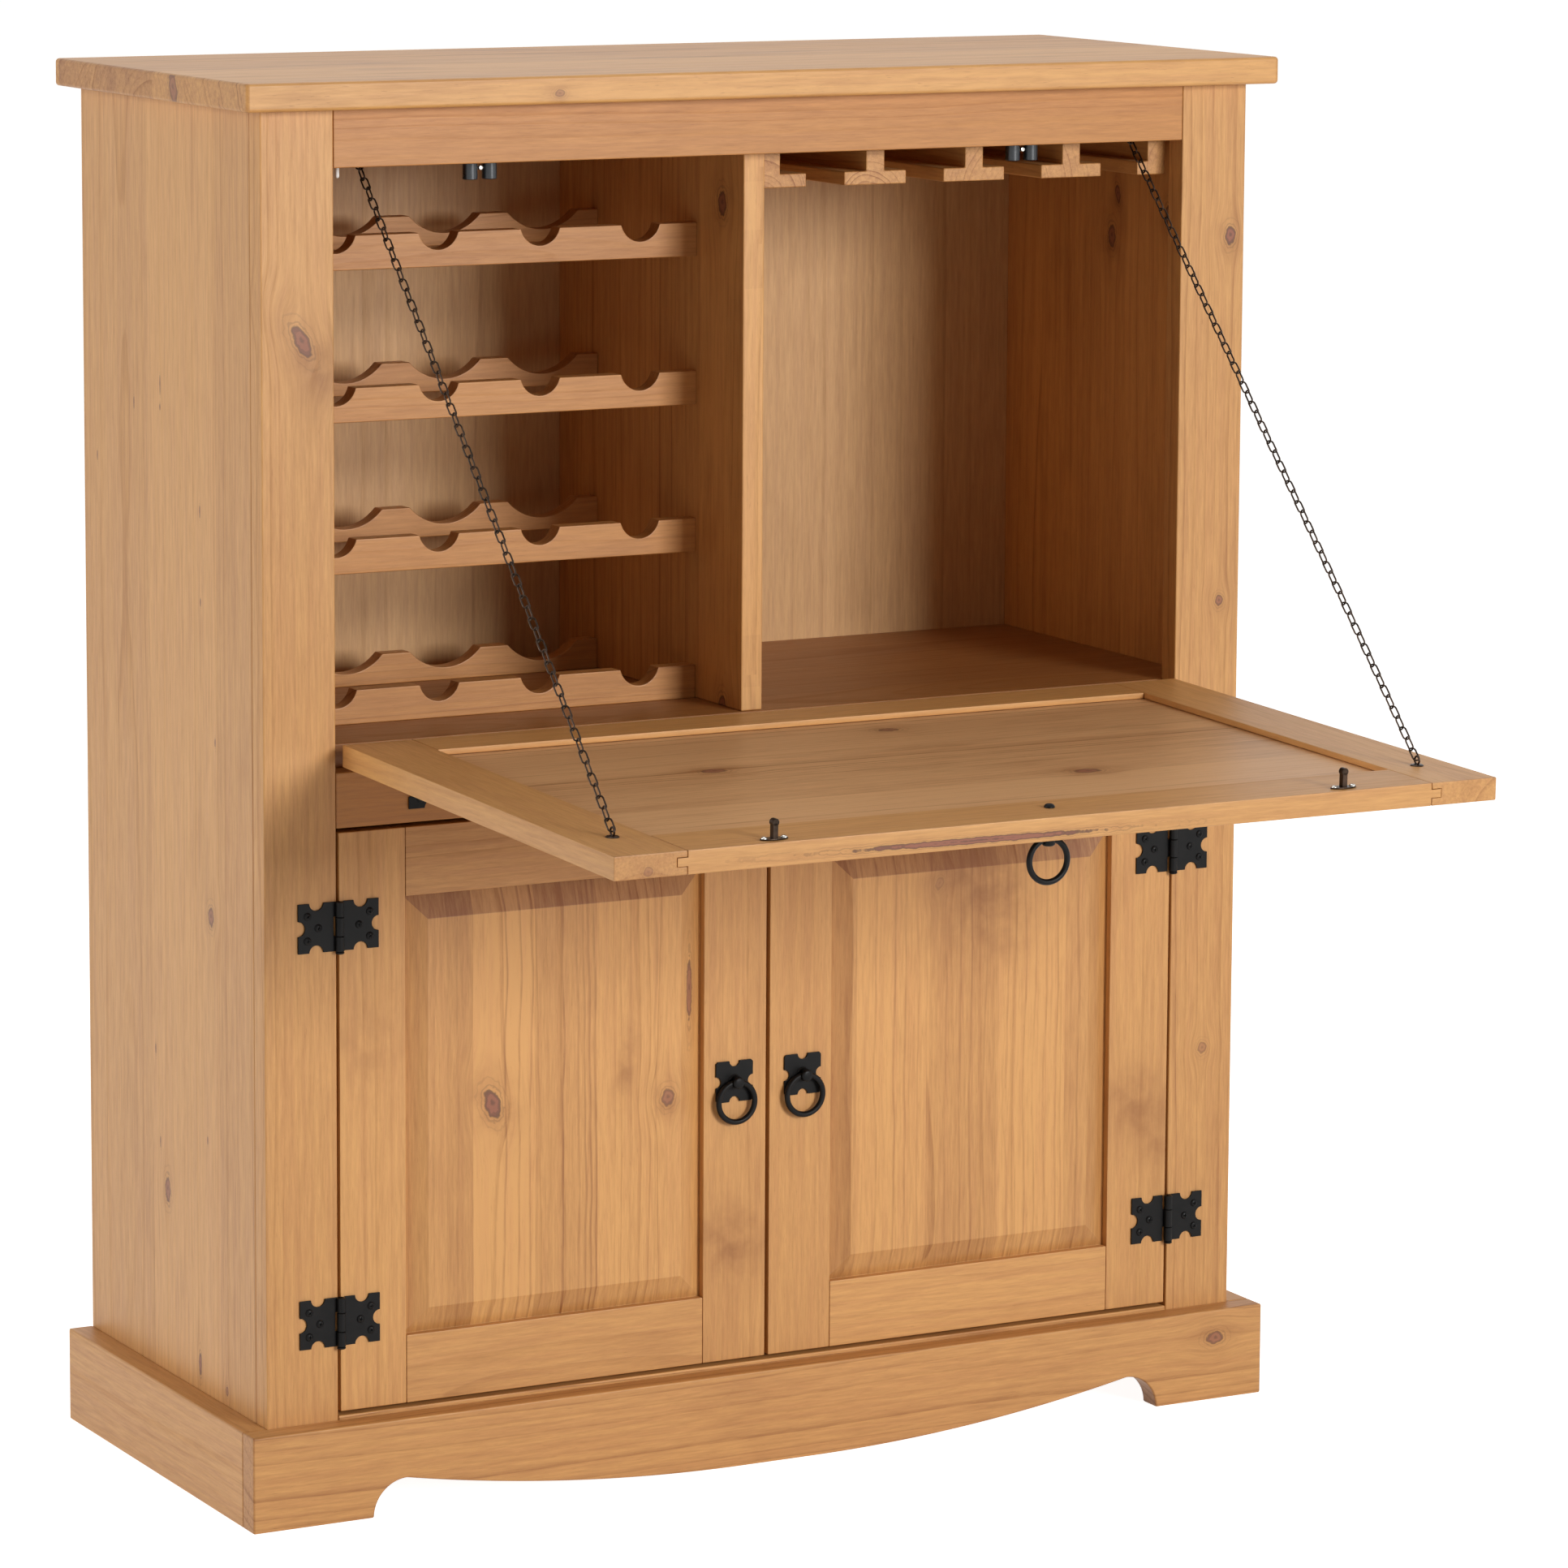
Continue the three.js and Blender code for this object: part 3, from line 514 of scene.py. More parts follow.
@dataclass(frozen=True)
class Metal:
    """A fitting's finish. The lacquered ones are dielectric, the plated ones are metal; a fine
    orange peel or drawn surface breaks up the highlight. The slot is the name of its material."""

    name: str
    colour: str
    worn: str
    roughness: float
    metallic: float
    peel: float = 0.7
    lumps: float = 0.25
    lump_height: float = 0.0001
    gloss: float = 0.5
    patch: float = 9.0
    slot: str = "zinc_steel"

    def material(self) -> bpy.types.Material:
        """Makes the finish, or takes the one that is there.

        Returns:
            The material.
        """
        if self.name in bpy.data.materials:
            return bpy.data.materials[self.name]
        finish = blank(self.name)
        tree = finish.node_tree
        size = millimetres(put(tree, "ShaderNodeTexCoord"))
        patch = noise(size, 3.0, 1 / self.patch)
        surface(tree, noise(size, 2.0, 1 / self.peel), self.lumps, self.lump_height, {
            "Base Color": mixed(patch.ramp(0.35, 0.7), linear(self.colour), linear(self.worn)),
            "Roughness": patch.ramp(0.3, 0.7, self.roughness * 0.88, self.roughness * 1.14),
            "Metallic": self.metallic, "Specular IOR Level": self.gloss})
        return finish


# Pressed steel sheet under a satin black powder coat: soft grey highlights on a fine orange peel.
BLACK_COAT = Metal("satin_black_powder_coat", "#0b0b0b", "#121111", 0.42, 0.0, gloss=0.14, slot="black_iron")
# Steel wire with an antique bronze plating: near black, with warm glints on the rounds.
BRONZE_WIRE = Metal("antique_bronze_plated_wire", "#2b221b", "#43342a", 0.34, 0.9, peel=0.4,
                    slot="black_iron")
# The same plating on the strikes, which are of the catches' steel.
BRONZE_SHEET = replace(BRONZE_WIRE, slot="zinc_steel")
# Stamped steel with a dark nickel plating on the catches' brackets: grey, with soft reflections.
DARK_NICKEL = Metal("dark_nickel_plate", "#57504a", "#6a625a", 0.3, 1.0, peel=0.4, lumps=0.15)
# Bright zinc on the small screws of the strikes and on the catches' rivets: small white glints.
BRIGHT_ZINC = Metal("bright_zinc_screw", "#c9c6c0", "#b4b0a8", 0.24, 1.0, peel=0.4, lumps=0.1)
# Black nylon rollers on the catches, smooth enough to show a narrow highlight.
BLACK_NYLON = Metal("black_nylon_roller", "#1b2126", "#262d33", 0.3, 0.0, gloss=0.6)
# Milky soft vinyl on the flap's stop, as small cabinet bumpers are.
CLEAR_VINYL = Metal("milky_vinyl_bumper", "#e9e8e4", "#dddcd8", 0.35, 0.0)


def arc(middle: Point2, radius: float, start: float, end: float, steps: int) -> list[Point2]:
    """Returns the points of an arc, both ends included, with its angles in degrees."""
    turns = [math.radians(start + (end - start) * i / steps) for i in range(steps + 1)]
    return [(middle[0] + radius * math.cos(t), middle[1] + radius * math.sin(t)) for t in turns]


def merged(*meshes: Mesh) -> Mesh:
    """Puts meshes together.

    Args:
        *meshes: The meshes; all but the first are freed.

    Returns:
        The first one, with all of them in it.
    """
    whole = meshes[0]
    for other in meshes[1:]:
        spare = bpy.data.meshes.new("spare")
        other.to_mesh(spare)
        whole.from_mesh(spare)
        bpy.data.meshes.remove(spare)
        other.free()
    return whole


def skinned(rows: Sequence[Sequence[Sequence[float]]], ring: bool = False) -> Mesh:
    """Joins rows of points by a closed skin.

    Args:
        rows: Loops of points, all of one length, or single points.
        ring: Whether the last row meets the first; if not, each end is closed with a flat face.

    Returns:
        The closed mesh.
    """
    made = bmesh.new()
    loops = [[made.verts.new(point) for point in row] for row in rows]
    sides = max(len(loop) for loop in loops)
    pairs = [*zip(loops, loops[1:]), (loops[-1], loops[0])]
    for lower, upper in pairs if ring else pairs[:-1]:
        for i in range(sides):
            corners = [lower[i % len(lower)], lower[(i + 1) % sides % len(lower)],
                       upper[(i + 1) % sides % len(upper)], upper[i % len(upper)]]
            made.faces.new(list(dict.fromkeys(corners)))
    for end in () if ring else (loops[0], loops[-1]):
        if len(end) > 1:
            made.faces.new(end)
    bmesh.ops.recalc_face_normals(made, faces=made.faces)
    return made


def prism(outline: Iterable[Point2], axis: str, low: float, high: float) -> Mesh:
    """Extrudes an outline.

    Args:
        outline: Points in the two axes that are left, in X, Y, Z order, either way round.
        axis: The axis to extrude along.
        low: Where the prism starts.
        high: Where it ends.

    Returns:
        The closed prism.
    """
    clean: list[Point2] = []
    for point in outline:
        if not clean or math.dist(point, clean[-1]) > SAME:
            clean.append(point)
    if math.dist(clean[0], clean[-1]) < SAME:
        clean.pop()
    place = AXES.index(axis)
    return skinned([[(*point[:place], level, *point[place:]) for point in clean] for level in (low, high)])


def box(low: Sequence[float], high: Sequence[float]) -> Mesh:
    """Returns the box between two corners."""
    outline = [(low[0], low[1]), (high[0], low[1]), (high[0], high[1]), (low[0], high[1])]
    return prism(outline, "z", low[2], high[2])


def lathe(profile: Sequence[Point2], steps: int, axis: str = "z") -> Mesh:
    """Turns a profile round an axis through the origin.

    Args:
        profile: Radius and height of each point, from one end to the other.
        steps: The number of sides.
        axis: The axis that the heights run along.

    Returns:
        The closed solid.
    """
    turns = [2 * math.pi * i / steps for i in range(steps)]
    made = skinned([[(radius * math.cos(t), radius * math.sin(t), height) for t in turns] if radius else
                    [(0.0, 0.0, height)] for radius, height in profile])
    made.transform({"x": turn("Y", 90), "y": turn("X", -90), "z": Matrix.Identity(4)}[axis])
    return made


def torus(radius: float, wire: float, steps: int, sides: int) -> Mesh:
    """Bends a wire to a ring round the Y axis.

    Args:
        radius: The ring's, to the wire's middle.
        wire: The wire's own radius.
        steps: The number of facets round the ring.
        sides: The number of sides of the wire.

    Returns:
        The closed ring.
    """
    rolls = [2 * math.pi * k / sides for k in range(sides)]
    section = [(radius + wire * math.cos(roll), wire * math.sin(roll)) for roll in rolls]
    turns = [2 * math.pi * i / steps for i in range(steps)]
    rows = [[(out * math.cos(t), y, out * math.sin(t)) for out, y in section] for t in turns]
    return skinned(rows, ring=True)


def moved(mesh: Mesh, x: float = 0, y: float = 0, z: float = 0) -> Mesh:
    """Shifts a mesh and returns it."""
    mesh.transform(at(x, y, z))
    return mesh


def rounded(mesh: Mesh, edges: Iterable[bmesh.types.BMEdge], width: float, steps: int) -> Mesh:
    """Rounds some edges of a mesh.

    Args:
        mesh: The mesh to change.
        edges: The edges to round.
        width: How far the rounding reaches.
        steps: The number of facets in it.

    Returns:
        The same mesh.
    """
    bmesh.ops.bevel(mesh, geom=list(edges), offset=width, offset_type="OFFSET", segments=steps, profile=0.5,
                    affect="EDGES", clamp_overlap=True)
    return mesh


def eased(mesh: Mesh, width: float, steps: int = 2, sharp: float = 28) -> Mesh:
    """Rounds every edge that is sharper than an angle.

    Args:
        mesh: The mesh to change.
        width: How far the rounding reaches from the edge.
        steps: The number of facets in it.
        sharp: The least angle between the faces, in degrees.

    Returns:
        The same mesh.
    """
    limit = math.radians(sharp)
    edges = [e for e in mesh.edges if len(e.link_faces) == 2 and e.calc_face_angle(0) > limit]
    return rounded(mesh, edges, width, steps)


def smoothed(data: bpy.types.Mesh, angle: float) -> None:
    """Shades a mesh's flatter edges as round.

    Args:
        data: The mesh to change.
        angle: Edges under this angle, in degrees, are shaded as round.
    """
    for polygon in data.polygons:
        polygon.use_smooth = True
    data.set_sharp_from_angle(angle=math.radians(angle))


def placed(name: str, data: bpy.types.ID) -> Piece:
    """Puts a new object in the scene.

    Args:
        name: The object's name.
        data: Its mesh, light or camera.

    Returns:
        The object.
    """
    made = bpy.data.objects.new(name, data)
    bpy.context.scene.collection.objects.link(made)
    return made


def plain(name: str, mesh: Mesh) -> bpy.types.Mesh:
    """Turns a mesh into Blender's own kind and frees it.

    Args:
        name: The mesh's name.
        mesh: The mesh; it is freed.

    Returns:
        Blender's mesh.
    """
    data = bpy.data.meshes.new(name)
    mesh.to_mesh(data)
    mesh.free()
    return data


def told(piece: Piece, body: str, nodes: Sequence[str]) -> None:
    """Tells the frame what a piece is.

    Args:
        piece: The piece.
        body: The body that it moves with.
        nodes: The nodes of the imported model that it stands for.
    """
    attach(piece, body)
    if nodes:
        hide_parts(*nodes)
    LOG.info("%s rides on %s", piece.name, body)


def finished(name: str, mesh: Mesh, body: str, nodes: Sequence[str], finish: Pine | Metal,
             place: Matrix = Matrix.Identity(4), smooth: float = 35) -> Piece:
    """Turns a mesh into a piece of the cabinet.

    Args:
        name: The piece's name.
        mesh: The mesh in millimetres; it is freed.
        body: The body that it moves with.
        nodes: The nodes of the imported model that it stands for.
        finish: A metal, or pine, which is cut anew for each board.
        place: Where it goes, in the drawing's millimetres.
        smooth: Edges under this angle, in degrees, are shaded as round.

    Returns:
        The dressed piece.
    """
    mesh.transform(TO_ROW @ place)
    piece = placed(name, plain(name, mesh))
    smoothed(piece.data, smooth)
    weighted = piece.modifiers.new("even_shading", "WEIGHTED_NORMAL")
    weighted.keep_sharp = True
    weighted.weight = SHADING_WEIGHT
    told(piece, body, nodes)
    if isinstance(finish, Metal):
        piece.data.materials.append(finish.material())
        return piece
    middle = [sum(corner[i] for corner in piece.bound_box) / 8 / METRE for i in range(3)]
    seed = zlib.crc32(name.encode()) % SEEDS / SEED_STEP
    piece.data.materials.append(finish.material(name, seed, middle))
    return piece


def board(node: str, finish: Pine, easing: float, steps: int = 2) -> Piece:
    """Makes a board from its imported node, with its flat faces whole again and its edges eased.

    Args:
        node: The node's name.
        finish: The board's wood.
        easing: The rounding's width.
        steps: The number of facets in it.

    Returns:
        The dressed board.
    """
    mesh = bmesh.new()
    mesh.from_mesh(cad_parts[node].data)
    mesh.transform(TO_ROW.inverted())
    bmesh.ops.remove_doubles(mesh, verts=mesh.verts, dist=WELD)
    bmesh.ops.dissolve_limit(mesh, angle_limit=math.radians(FLAT_DEGREES), verts=mesh.verts,
                             edges=mesh.edges)
    return finished(f"{node}_board", eased(mesh, easing, steps), CABINET, [node], finish)


def cut_out(body: Mesh, tool: Mesh) -> Mesh:
    """Cuts a tool out of a body.

    Args:
        body: What is cut; it is freed.
        tool: What is taken away from it; it is freed too.

    Returns:
        A new mesh.
    """
    holders = [placed(part, plain(part, mesh)) for part, mesh in (("cut_body", body), ("cut_tool", tool))]
    modifier = holders[0].modifiers.new("cut", "BOOLEAN")
    modifier.operation = "DIFFERENCE"
    modifier.solver = "EXACT"
    modifier.object = holders[1]
    bpy.context.view_layer.update()
    data = bpy.data.meshes.new_from_object(holders[0].evaluated_get(bpy.context.evaluated_depsgraph_get()))
    result = bmesh.new()
    result.from_mesh(data)
    bpy.data.meshes.remove(data)
    for holder in holders:
        mesh = holder.data
        bpy.data.objects.remove(holder)
        bpy.data.meshes.remove(mesh)
    return result


def grown(name: str, tree: Tree, points: Sequence[Point3], inputs: dict[str, Any], metal: Metal,
          place: Matrix, body: str, node: str) -> Piece:
    """Runs a geometry tree on loose points and keeps the result as a plain mesh.

    Args:
        name: The piece's name.
        tree: The tree, whose sizes are in millimetres.
        points: What the tree starts from.
        inputs: The tree's named inputs, without the material.
        metal: The finish.
        place: Where the result goes, in the drawing's millimetres.
        body: The body that it moves with.
        node: The node that it stands for, alone or with other pieces.

    Returns:
        The dressed piece.
    """
    start = bmesh.new()
    for point in points:
        start.verts.new(point)
    piece = placed(name, plain(name, start))
    modifier = piece.modifiers.new("grow", "NODES")
    modifier.node_group = tree
    sockets = {item.name: item.identifier for item in tree.interface.items_tree
               if item.item_type == "SOCKET" and item.in_out == "INPUT"}
    for key, value in {**inputs, "Material": metal.material()}.items():
        modifier[sockets[key]] = value
    bpy.context.view_layer.update()
    graph = bpy.context.evaluated_depsgraph_get()
    data = bpy.data.meshes.new_from_object(piece.evaluated_get(graph))
    piece.modifiers.remove(modifier)
    piece.data = data
    data.transform(TO_ROW @ place)
    smoothed(data, GROWN_SMOOTH)
    told(piece, body, [node])
    return piece


def geometry_tree(name: str, inputs: dict[str, str], draw: Callable[[Tree, Given], Term]) -> Tree:
    """Makes a geometry tree, or takes the one that is there.

    Args:
        name: The tree's name.
        inputs: Each input's kind of socket.
        draw: Takes the tree and a function that returns an input, and returns the instances.

    Returns:
        The tree, with a geometry and a material as further inputs.
    """
    if name in bpy.data.node_groups:
        return bpy.data.node_groups[name]
    tree = bpy.data.node_groups.new(name, "GeometryNodeTree")
    for key, kind in {"Geometry": "Geometry", **inputs, "Material": "Material"}.items():
        tree.interface.new_socket(key, in_out="INPUT", socket_type=f"NodeSocket{kind}")
    tree.interface.new_socket("Geometry", in_out="OUTPUT", socket_type="NodeSocketGeometry")
    given = put(tree, "NodeGroupInput").out
    real = put(tree, "GeometryNodeRealizeInstances", [draw(tree, given)])
    coated = put(tree, "GeometryNodeSetMaterial", {"Geometry": real, "Material": given("Material")})
    put(tree, "NodeGroupOutput", [coated])
    return tree


def draw_screws(tree: Tree, given: Given) -> Term:
    """Draws a domed screw head with a cross recess on each point, facing -Y.

    Args:
        tree: The tree to draw in.
        given: Returns one of its inputs.

    Returns:
        The heads.
    """
    ball = put(tree, "GeometryNodeMeshUVSphere", {"Segments": 24, "Rings": 12, "Radius": 1.0})
    flat = joined(tree, given("Radius"), given("Radius"), given("Height"))
    dome = put(tree, "GeometryNodeTransform", {"Geometry": ball, "Scale": flat})
    reach, slot, height = given("Radius") * 1.05, given("Slot width"), given("Height")
    bars = [put(tree, "GeometryNodeMeshCube", {"Size": joined(tree, *size, height)})
            for size in ((reach, slot), (slot, reach))]
    cross = put(tree, "GeometryNodeMeshBoolean", {1: bars}, operation="UNION")
    lift = joined(tree, 0.0, 0.0, height)
    raised = put(tree, "GeometryNodeTransform", {"Geometry": cross, "Translation": lift})
    head = put(tree, "GeometryNodeMeshBoolean", {0: dome, 1: raised}, operation="DIFFERENCE")
    points = put(tree, "GeometryNodeMeshToPoints", {"Mesh": given("Geometry")})
    facing = joined(tree, math.pi / 2, put(tree, "GeometryNodeInputIndex") * 0.9)
    return put(tree, "GeometryNodeInstanceOnPoints", {"Points": points, "Instance": head, "Rotation": facing})


def screws(name: str, spots: Sequence[Point3], metal: Metal, place: Matrix, body: str, node: str,
           radius: float = 3.0, height: float = 1.5, slot_share: float = 0.24) -> Piece:
    """Sets screw heads on a face.

    Args:
        name: The piece's name.
        spots: The middle of each head's foot.
        metal: The screws' finish.
        place: Where the face is, in the drawing's millimetres; the heads stand towards its -Y.
        body: The body that they move with.
        node: The node that they stand for, with other pieces.
        radius: A head's radius.
        height: A head's height.
        slot_share: The width of the recess as a share of the radius.

    Returns:
        All the heads as one piece.
    """
    inputs = {"Radius": radius, "Height": height, "Slot width": radius * slot_share}
    tree = geometry_tree("screw_heads", dict.fromkeys(inputs, "Float"), draw_screws)
    return grown(name, tree, spots, inputs, metal, place, body, node)


def draw_links(tree: Tree, given: Given) -> Term:
    """Draws a run of links that hangs from the origin, every other one turned a quarter.

    Args:
        tree: The tree to draw in.
        given: Returns one of its inputs.

    Returns:
        The links.
    """
    reach, across = given("Pitch") + given("Wire"), given("Width") - given("Wire")
    outline = put(tree, "GeometryNodeCurvePrimitiveQuadrilateral", {"Width": across, "Height": reach})
    corners = {"Curve": outline, "Radius": across * 0.42, "Count": 4}
    bent = put(tree, "GeometryNodeFilletCurve", corners, mode="POLY")
    section = put(tree, "GeometryNodeCurvePrimitiveCircle", {"Resolution": 8, "Radius": given("Wire") * 0.5})
    link = put(tree, "GeometryNodeCurveToMesh", {"Curve": bent, "Profile Curve": section})
    half, down = joined(tree, 0.0, 0.0, reach * -0.5), joined(tree, 0.0, 0.0, given("Pitch") * -1.0)
    upright = put(tree, "GeometryNodeTransform", {"Geometry": link, "Rotation": (math.pi / 2, 0, 0),
                                                  "Translation": half})
    row = put(tree, "GeometryNodeMeshLine", {"Count": given("Count"), "Offset": down})
    quarter = put(tree, "GeometryNodeInputIndex").math("MODULO", 2.0) * (math.pi / 2)
    facing = joined(tree, 0.0, 0.0, quarter)
    return put(tree, "GeometryNodeInstanceOnPoints", {"Points": row, "Instance": upright, "Rotation": facing})


@dataclass
class Carcass:
    """The cabinet's box: top, sides, face frame, floors, back and divider."""

    opening: float = 362.0
    easing: float = 1.2
    back_easing: float = 0.6
    top_half: float = 439.0
    top_front: float = -18.0
    top_back: float = 346.0
    top_low: float = 1049.0
    top_high: float = 1070.0
    top_corner: float = 4.0
    top_corner_steps: int = 6
    top_easing: float = 2.8
    rail_low: float = 1006.0
    frame_depth: float = 20.0
    bumper: Point3 = (-350.6, 18.6, 1006.0)
    bumper_profile: Profile = ((1.5, 0.5), (1.5, -7.4), (1.2, -8.2), (0.7, -8.6), (0.0, -8.7))
    bumper_sides: int = 28

    def top(self) -> Piece:
        """Makes the top panel, with round corners and well rounded edges.

        Returns:
            The dressed board.
        """
        r = self.top_corner
        x, front, back = self.top_half - r, self.top_front + r, self.top_back - r
        corners = ((x, front, -90), (x, back, 0), (-x, back, 90), (-x, front, 180))
        outline = [point for x, y, start in corners
                   for point in arc((x, y), r, start, start + 90, self.top_corner_steps)]
        mesh = eased(prism(outline, "z", self.top_low, self.top_high), self.top_easing, 4, sharp=40)
        knots = (Knot(-187.6, 1057, 4.0, 0.7, 0, 0.5, 0.4, "xz"),
                 Knot(114, 1060, 7.0, 1.6, 20, 0.75, 0.3, "yz"))
        return finished("top_panel_board", mesh, CABINET, ["top_panel"],
                        Pine(Grain.ACROSS_DEEP, stave=61, first_seam=20, knots=knots))

    def top_rail(self) -> Piece:
        """Makes the face frame's top rail, without its eyes.

        Returns:
            The dressed board.
        """
        mesh = box((-self.opening, 0, self.rail_low), (self.opening, self.frame_depth, self.top_low))
        # The rail's darker tone and colours are partly the wood's own and partly painted shade under the
        # top's overhang.
        return finished("top_rail_board", eased(mesh, self.easing), CABINET, ["top_front_rail"],
                        Pine(Grain.ACROSS_TALL, contrast=0.4, tone=0.24, light="#d1924c", rosy="#c78749"))

    def bumper_dot(self) -> Piece:
        """Makes the white stop under the rail's back edge, which the shut flap meets."""
        mesh = moved(lathe(self.bumper_profile, self.bumper_sides), *self.bumper)
        return finished("flap_bumper", mesh, CABINET, [], CLEAR_VINYL)

    def build(self) -> list[Piece]:
        """Builds and dresses every board.

        Returns:
            The dressed pieces.
        """
        streaks = ((188.3, 833.0, 9.0), (188.7, 815.8, 3.0), (239.1, 814.4, 6.0), (312.8, 766.3, 5.0),
                   (114.5, 745.1, 6.0), (114.2, 677.0, 4.0), (88.6, 575.0, 4.0), (206.7, 321.1, 5.0),
                   (198.7, 249.9, 6.0), (107.6, 269.3, 4.0))
        side = {"stave": 64, "first_seam": ROW_SHIFT + 20}
        woods = {
            # The left side's paler colours are painted sheen.
            "left_side_panel": Pine(Grain.UP_DEEP, **side, contrast=0.4, stave_tone=0.6, light="#d9a568",
                                    rosy="#d19a68", knots=(
                Knot(98.5, 442.1, 5.0, 1.4, 0, 0.8, 0.15), Knot(185.1, 215.9, 5.0, 1.9, 0, 0.85, 0.15),
                Knot(124.7, 93.4, 2.6, 3.2, 0, 0.9, 0.2), Knot(74.0, 83.6, 2.4, 1.6, 0, 0.7, 0.1),
                *(Knot(y, z, 0.8, long, 0, 1.0, 0.0) for y, z, long in streaks))),
            "right_side_panel": Pine(Grain.UP_DEEP, **side, contrast=0.7, stave_tone=0.5, knots=(
                Knot(168.4, 917.7, 5.5, 1.6, 0, 1.0, 0.6), Knot(160.0, 952.0, 3.6, 2.0, 15, 1.0, 0.5),
                Knot(82.7, 940.3, 5.0, 1.6, 0, 1.0, 0.4))),
            "left_front_stile": Pine(Grain.UP_WIDE, contrast=0.45, tone=-0.06, knots=(
                Knot(-387.6, 881.1, 5.4, 2.3, -31, 0.9, 0.3), Knot(-374.0, 858.0, 7.0, 1.2, -31, 0.0, 0.4))),
            "right_front_stile": Pine(Grain.UP_WIDE, contrast=0.45, tone=0.08, knots=(
                Knot(392.7, 283, 4.0, 1.2, 0, 0.5, 0.15), Knot(407.4, 930.3, 4.6, 1.5, 0, 1.0, 0.4),
                Knot(402.0, 642.0, 3.4, 1.3, 0, 0.8, 0.2))),
            # The middle rail's dark tone and colours are painted shade under the open flap.
            "middle_front_rail": Pine(Grain.ACROSS_TALL, contrast=0.45, tone=0.42, light="#c8883a",
                                      rosy="#bf7f3c"),
            "bottom_panel": Pine(Grain.ACROSS_DEEP, stave=64),
            # The bar floor's dark tone and colours are painted shade inside the cabinet.
            "bar_floor": Pine(Grain.ACROSS_DEEP, stave=64, contrast=0.6, tone=0.6, light="#b67e42",
                              rosy="#ae7642"),
            "back_panel": Pine(Grain.UP_WIDE, contrast=0.4, ring_gap=14.0, spread=500.0, light="#d8ab74",
                               dark="#96693a", rosy="#cfa172"),
            "centre_divider": Pine(Grain.UP_DEEP, stave=70, contrast=0.7, knots=(
                Knot(54.4, 965.7, 6.5, 1.4, 0, 1.0, 0.4), Knot(50.7, 579.8, 6.0, 1.4, 0, 1.0, 0.4))),
        }
        return [self.top(), self.top_rail(), self.bumper_dot(), *(
            board(node, wood, self.back_easing if node == "back_panel" else self.easing)
            for node, wood in woods.items())]


@dataclass
class Plinth:
    """The plinth: a front board whose lower edge sweeps between two feet, and two side boards."""

    half: float = 440.0
    height: float = 73.0
    thickness: float = 20.0
    foot: float = 78.0
    foot_arc: float = 27.5
    belly_flat: float = 60.0
    foot_steps: int = 20
    sweep_steps: int = 40
    easing: float = 1.4

    def front(self) -> Piece:
        """Makes the shaped front board.

        Returns:
            The dressed board.
        """
        arch = self.half - self.thickness - self.foot - self.foot_arc
        flat = self.belly_flat / 2
        run = arch - flat
        sweep = (run**2 + self.foot_arc**2) / (self.foot_arc * 2)
        bend = math.degrees(math.asin(run / sweep))
        outline = [(-self.half, self.height), (-self.half, 0.0)]
        outline += arc((-arch, 0.0), self.foot_arc, 180, 90, self.foot_steps)
        outline += arc((-flat, sweep), sweep, -90 - bend, -90, self.sweep_steps)
        outline += arc((flat, sweep), sweep, -90, -90 + bend, self.sweep_steps)
        outline += arc((arch, 0.0), self.foot_arc, 90, 0, self.foot_steps)
        outline += [(self.half, 0.0), (self.half, self.height)]
        mesh = eased(prism(outline, "y", -self.thickness, 0.0), self.easing, 3, sharp=25)
        return finished("plinth_front_board", mesh, CABINET, ["plinth_front"],
                        Pine(Grain.ACROSS_TALL, contrast=0.5, knots=(Knot(50.4, 396.4, 5.0),)))

    def build(self) -> list[Piece]:
        """Builds and dresses the three boards."""
        side_wood = Pine(Grain.DEEP_TALL, contrast=0.5)
        return [self.front(), *(board(f"plinth_{side}", side_wood, self.easing, 3) for side, _ in SIDES)]


@dataclass
class BottleRack:
    """The rack: each tier has a front bar cut for the necks and a rear one for the bodies.

    Of each kind of bar are given the height, the place of the front face, the notches' radius and
    how far a notch's centre lies over the bar's top.
    """

    kinds: tuple[tuple[str, float, float, float, float], ...] = (
        ("neck", 26.0, 95.0, 16.5, 3.5), ("bottle", 24.0, 263.0, 40.0, 26.0))
    left: float = -402.0
    right: float = -14.0
    floor: float = 580.0
    tiers: int = 4
    tier_pitch: float = 114.0
    bottles: int = 4
    bottle_pitch: float = 85.0
    first_bottle: float = 48.6
    thickness: float = 15.0
    easing: float = 1.0
    notch_steps: int = 20

    def bar(self, tier: int, kind: str, height: float, setback: float, radius: float, rise: float) -> Piece:
        """Makes one bar.

        Args:
            tier: Its tier, from 0.
            kind: Its kind.
            height: Its own height.
            setback: Where its front face is.
            radius: The notches' radius.
            rise: The height of a notch's centre over the bar's top.

        Returns:
            The dressed bar.
        """
        bottom = self.floor + tier * self.tier_pitch
        top = bottom + height
        half = math.degrees(math.acos(rise / radius))
        outline: list[Point2] = [(self.left, bottom), (self.right, bottom), (self.right, top)]
        for bottle in range(self.bottles):
            x = self.right - self.first_bottle - bottle * self.bottle_pitch
            outline += arc((x, top + rise), radius, -90 + half, -90 - half, self.notch_steps)
        outline.append((self.left, top))
        mesh = eased(prism(outline, "y", setback, setback + self.thickness), self.easing, 2, sharp=25)
        # The bars' darker tone and colours are painted shade inside the cabinet.
        wood = Pine(Grain.ACROSS_TALL, ring_gap=4.0, contrast=0.55, tone=0.18, light="#ce9353",
                    rosy="#c48850")
        node = f"{kind}_bar_{tier + 1}"
        return finished(f"{node}_board", mesh, CABINET, [node], wood)

    def build(self) -> list[Piece]:
        """Builds and dresses both bars of every tier."""
        return [self.bar(tier, *kind) for tier in range(self.tiers) for kind in self.kinds]


